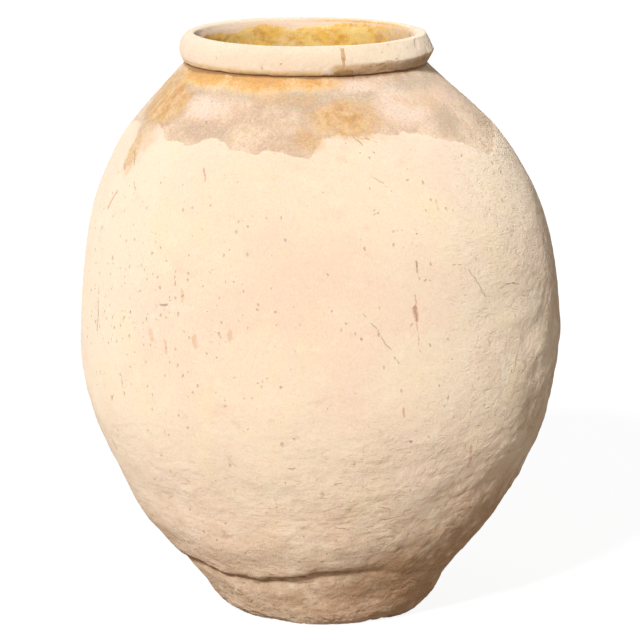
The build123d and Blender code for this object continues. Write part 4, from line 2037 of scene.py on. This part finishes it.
@dataclass
class GlazeFilm:
    """Thin glaze on the outside. Where it thins out at its edge it sinks into the clay.

    Attributes:
        name: The piece's name.
        node: The node that it stands for.
        skin: Gives points on the surface under it, or lifted off that.
        stains: Gives what stains that surface.
        radius: The surface's radius there, in metres.
        patches: Its patches.
        noise: What its edges are broken by.
        thickness: How thick it is, in metres.
        spacing: The width of one of its faces, in metres.
        edge_width: How wide its edge slopes, in mm.
        raggedness: How far its edge is broken, in mm.
    """

    name: str
    node: str
    skin: Callable[[Numbers, Numbers, Numbers], Numbers]
    stains: Callable[[Numbers, Numbers], dict[Trace, Numbers]]
    radius: float
    patches: Sequence[FilmPatch]
    noise: ClayNoise
    thickness: float
    spacing: float = 1.6 * MM
    edge_width: float = 4.0
    raggedness: float = 3.0

    def lay(self, shell: bmesh.types.BMesh, patch: FilmPatch) -> None:
        """Adds one patch to the film's shell, as a sheet with its stains.

        Args:
            shell: The film's shell.
            patch: The patch.
        """
        first, last = patch.azimuths
        wide, tall = math.radians(last - first) * self.radius, patch.along[1] - patch.along[0]
        counts = {"x_segments": math.ceil(wide / self.spacing), "y_segments": math.ceil(tall / self.spacing)}
        grid = bmesh.ops.create_grid(shell, size=0.5, **counts)["verts"]
        across, up = np.array([vertex.co.xy for vertex in grid]).T + 0.5
        azimuth, along = first + across * (last - first), patch.along[0] + up * tall
        around = ringed(azimuth, self.radius, along)
        inside = patch.shape(azimuth, along) + self.raggedness * self.noise.rough(around, 0.012)
        beyond = 1.0 if patch.full_end else 1 - up
        rim = np.minimum(np.minimum(across, 1 - across) * wide, np.minimum(up, beyond) * tall)
        film = eased(np.minimum(inside, rim / MM - 1.5), -self.edge_width / 2, self.edge_width)
        for vertex, place in zip(grid, self.skin(azimuth, along, (film * 1.45 - 0.45) * self.thickness)):
            vertex.co = place
        for trace, values in {**self.stains(azimuth, along), Trace.FILM: film}.items():
            layer = shell.verts.layers.float[trace.value]
            for vertex, value in zip(grid, values):
                vertex[layer] = value

    def build(self, finish: WornGlazeFinish, slot: Slot) -> None:
        """Builds and dresses the film.

        Args:
            finish: The glaze's finish.
            slot: The record's slot that the finish follows; not used.
        """
        shell = bmesh.new()
        for trace in (*STAINS, Trace.FILM):
            shell.verts.layers.float.new(trace.value)
        for patch in self.patches:
            self.lay(shell, patch)
        shell.normal_update()
        inwards = [face for face in shell.faces if face.normal.xy.dot(face.calc_center_median().xy) < 0]
        if len(inwards) * 2 > len(shell.faces):
            bmesh.ops.reverse_faces(shell, faces=shell.faces[:])
        bmesh.ops.solidify(shell, geom=shell.faces[:], thickness=1.2 * self.thickness)
        mesh = finished_mesh(self.name, shell)
        place_piece(mesh, finish.material(self.name.replace("_", " ")), self.node)


@dataclass
class OutsideGlaze:
    """What is left of the glaze on the outside: under the collar, on the shoulder, and one run.

    Attributes:
        wall: The wall under it.
        collar: The collar that the run goes down.
        clay: The clay's finish.
        amber_colours: The thick, thin and dirty colours of the glaze under the collar.
        run_colours: The same of the run.
        neck_stretches: The first and last azimuth and the drop in mm of the glaze under the collar.
        shoulder_ovals: The azimuth, height, half-sizes in mm, and wall radius of the shoulder's patches.
        run_azimuth: The direction of the run, in degrees.
    """

    wall: JarWall
    collar: RimCollar
    clay: ClayFinish
    amber_colours: tuple[Colour, ...] = ((0.77, 0.45, 0.15), (0.94, 0.76, 0.50), (0.50, 0.29, 0.11))
    run_colours: tuple[Colour, ...] = ((0.48, 0.26, 0.09), (0.74, 0.50, 0.25), (0.30, 0.18, 0.09))
    neck_stretches: tuple[Range, ...] = ((-71, 12, 12), (110, 156, 12), (194, 221, 13))
    shoulder_ovals: tuple[Range, ...] = (
        (-62, 697, 40, 24, 0.205),
        (12, 693, 36, 18, 0.215),
        (168, 692, 42, 22, 0.215),
    )
    run_azimuth: float = 17.0

    @staticmethod
    def oval(
        azimuth: float, height: float, half_width: float, half_height: float, radius: float
    ) -> FilmPatch:
        """Makes an oval patch on the wall.

        Args:
            azimuth: The direction of its middle, in degrees.
            height: The height of its middle, in mm.
            half_width: Half its width, in mm.
            half_height: Half its height, in mm.
            radius: The wall's radius there, in metres.

        Returns:
            The patch.
        """
        angle = math.degrees(half_width * MM / radius)

        def shape(turn: Numbers, along: Numbers) -> Numbers:
            """Gives how far inside the oval each place lies, in mm."""
            reach = np.hypot((turn - azimuth) / angle, (along / MM - height) / half_height)
            return (1 - reach) * half_height

        heights = ((height - half_height * 1.2) * MM, (height + half_height * 1.2) * MM)
        return FilmPatch((azimuth - angle * 1.15, azimuth + angle * 1.15), heights, shape)

    def stretch(self, start: float, end: float, drop: float) -> FilmPatch:
        """Makes a stretch of glaze between two azimuths, hanging a drop in mm below the collar.

        Args:
            start: Its first azimuth, in degrees.
            end: Its last azimuth, in degrees.
            drop: How far it hangs down, in mm.

        Returns:
            The patch.
        """

        def shape(turn: Numbers, along: Numbers) -> Numbers:
            """Gives how far inside the stretch each place lies, in mm.

            Args:
                turn: Directions in degrees.
                along: Lengths along the surface, in metres.

            Returns:
                The depth inside it, negative outside.
            """
            around = np.stack([turn / 20, turn * 0, turn * 0 + start], axis=1)
            low = 742 - drop * (0.75 + 0.35 * self.wall.relief.noise.rough(around, 0.35))
            return np.minimum(along / MM - low, np.minimum(turn - start, end - turn) * 2.0)

        return FilmPatch((start, end), (722 * MM, 741.8 * MM), shape, full_end=True)

    def run_patch(self) -> FilmPatch:
        """Gives the run down the collar and the pool at its foot.

        Returns:
            The patch.
        """
        end = self.collar.outer_lengths[-1]

        def shape(turn: Numbers, along: Numbers) -> Numbers:
            """Gives how far inside the run each place lies, in mm.

            Args:
                turn: Directions in degrees.
                along: Lengths along the surface, in metres.

            Returns:
                The depth inside it, negative outside.
            """
            across = np.radians(turn - self.run_azimuth) * self.collar.bulge_radius / MM
            half = 2.6 + 0.5 * np.sin(along / MM * 0.45)
            spread = eased(along, end - 15 * MM, end - 8 * MM)
            return np.minimum(half + 11.0 * spread - np.abs(across - spread), along / MM - 4.0)

        return FilmPatch((12.0, 23.0), (0.002, end - 0.4 * MM), shape)

    def build(self) -> None:
        """Builds and dresses the three films."""
        wall, collar, noise = self.wall, self.collar, self.wall.relief.noise
        neck = [self.stretch(*each) for each in self.neck_stretches]
        film = GlazeFilm("neck_amber", "neck_glaze", wall.skin, wall.stains, 0.165, neck, noise, 0.9 * MM)
        film.build(WornGlazeFinish(self.clay, 0.62, 0.5, *self.amber_colours, 0.45), Slot.HONEY_GLAZE)
        shoulder = [self.oval(*each) for each in self.shoulder_ovals]
        names = ("shoulder_patches", "shoulder_glaze")
        film = GlazeFilm(*names, wall.skin, wall.stains, 0.21, shoulder, noise, 0.55 * MM, raggedness=6.0)
        film.build(WornGlazeFinish(self.clay), Slot.WORN_GLAZE)
        run, names = [self.run_patch()], ("collar_run", "collar_glaze_run")
        sizes = (0.6 * MM, 0.8 * MM, 1.6, 0.8)
        film = GlazeFilm(*names, collar.skin, collar.stains_along, 0.171, run, noise, *sizes)
        film.build(WornGlazeFinish(self.clay, 0.8, 0.0, *self.run_colours, 0.45), Slot.WORN_GLAZE)


# The studio


@dataclass(frozen=True)
class Lamp:
    """A soft lamp that shines like a hazy sky.

    Attributes:
        name: Its name.
        azimuth: Where it stands, in degrees from the front, positive to the right.
        elevation: How high it stands, in degrees.
        strength: Its strength.
        softness: The width of its disc in the sky, in degrees.
    """

    name: str
    azimuth: float
    elevation: float
    strength: float
    softness: float


@dataclass
class Studio:
    """A plain pale floor, soft lamps and the camera."""

    camera_place: Range = (0.0, -6.200, 1.56324)
    camera_tilt: float = 79.2865
    lens: float = 264.318
    sensor: float = 36.0
    clip: Range = (0.1, 100)
    floor_sides: int = 96
    floor_radius: float = 30.0
    floor_colour: Colour = (0.46, 0.37, 0.28)
    floor_patches: Colour = (0.50, 0.41, 0.32)
    floor_shade: Colour = (0.25, 0.25, 0.25)
    floor_glow: float = 0.9
    sky: float = 0.24
    lamp_distance: float = 4.0
    lamps: tuple[Lamp, ...] = (
        Lamp("key lamp", -20, 31, 2.62, 7.0),
        Lamp("front lamp", 36, 20, 0.3, 40.0),
    )

    def build(self) -> None:
        """Builds the camera, the lamps, the sky and the floor."""
        self.build_camera()
        for lamp in self.lamps:
            self.build_lamp(lamp)
        self.build_sky()
        self.build_floor()

    def build_camera(self) -> None:
        """Sets the camera up where the photograph was taken from."""
        data = bpy.data.cameras.new("camera")
        data.sensor_width, data.lens = self.sensor, self.lens
        data.clip_start, data.clip_end = self.clip
        camera = add_object("camera", data)
        camera.location = self.camera_place
        camera.rotation_euler = (math.radians(self.camera_tilt), 0, 0)
        bpy.context.scene.camera = camera

    def build_lamp(self, lamp: Lamp) -> None:
        """Hangs one lamp in the sky.

        Args:
            lamp: The lamp.
        """
        data = bpy.data.lights.new(lamp.name, "SUN")
        data.energy, data.angle = lamp.strength, math.radians(lamp.softness)
        hung = add_object(lamp.name, data)
        turn, up = math.radians(lamp.azimuth), math.radians(lamp.elevation)
        towards = Vector((math.sin(turn) * math.cos(up), -math.cos(turn) * math.cos(up), math.sin(up)))
        hung.location = towards * self.lamp_distance
        hung.rotation_euler = towards.to_track_quat("Z", "Y").to_euler()

    def build_sky(self) -> None:
        """Makes the sky: a soft even light that the camera sees as white."""
        world = bpy.data.worlds.new("sky")
        world.use_nodes = True
        bench = NodeBench(world.node_tree)
        light = bench.node("ShaderNodeBackground", {"Color": WHITE, "Strength": self.sky})
        white = bench.node("ShaderNodeBackground", {"Color": WHITE, "Strength": 1.0})
        path = bench.node("ShaderNodeLightPath", {}, "Is Camera Ray")
        seen = path.largest(path.out("Is Glossy Ray")).largest(path.out("Is Transmission Ray"))
        mixed = bench.node("ShaderNodeMixShader", {0: seen, 1: light, 2: white})
        bench.add("ShaderNodeOutputWorld", {"Surface": mixed})
        bpy.context.scene.world = world

    def build_floor(self) -> None:
        """Lays the floor, which the camera sees as white with the jar's soft shadow on it."""
        sheet = bmesh.new()
        bmesh.ops.create_circle(sheet, cap_ends=True, segments=self.floor_sides, radius=self.floor_radius)
        mesh = bpy.data.meshes.new("floor")
        sheet.to_mesh(mesh)
        sheet.free()
        floor = add_object("floor", mesh)
        material, bench, place = new_finish("pale floor")
        patches = bench.spread(bench.noise(place, 0.5), 0.3, 0.7, 0.2)
        tone = bench.blend(patches, self.floor_colour, self.floor_patches)
        plain = bench.node("ShaderNodeBsdfDiffuse", {"Color": tone})
        pale = bench.node("ShaderNodeBsdfDiffuse", {"Color": self.floor_shade})
        glow = bench.node("ShaderNodeEmission", {"Color": WHITE, "Strength": self.floor_glow})
        seen = bench.node("ShaderNodeAddShader", {0: pale, 1: glow})
        path = bench.node("ShaderNodeLightPath", {}, "Is Camera Ray")
        mixed = bench.node("ShaderNodeMixShader", {0: path, 1: plain, 2: seen})
        bench.add("ShaderNodeOutputMaterial", {"Surface": mixed})
        mesh.materials.append(material)


def main() -> None:
    """Builds the jar and its studio."""
    logging.basicConfig(level=logging.INFO, format="%(message)s")
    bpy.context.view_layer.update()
    scene = bpy.context.scene
    scene.view_settings.view_transform = "Standard"
    Studio().build()
    effects = SurfaceEffects()
    clay = ClayFinish(effects)
    wall = JarWall()
    wall.build(clay)
    BaseSlab(wall).build(clay)
    collar = RimCollar(wall)
    collar.build(clay)
    InteriorGlaze(wall).build(HoneyGlazeFinish(effects))
    OutsideGlaze(wall, collar, clay).build()


if __name__ == "__main__":
    main()
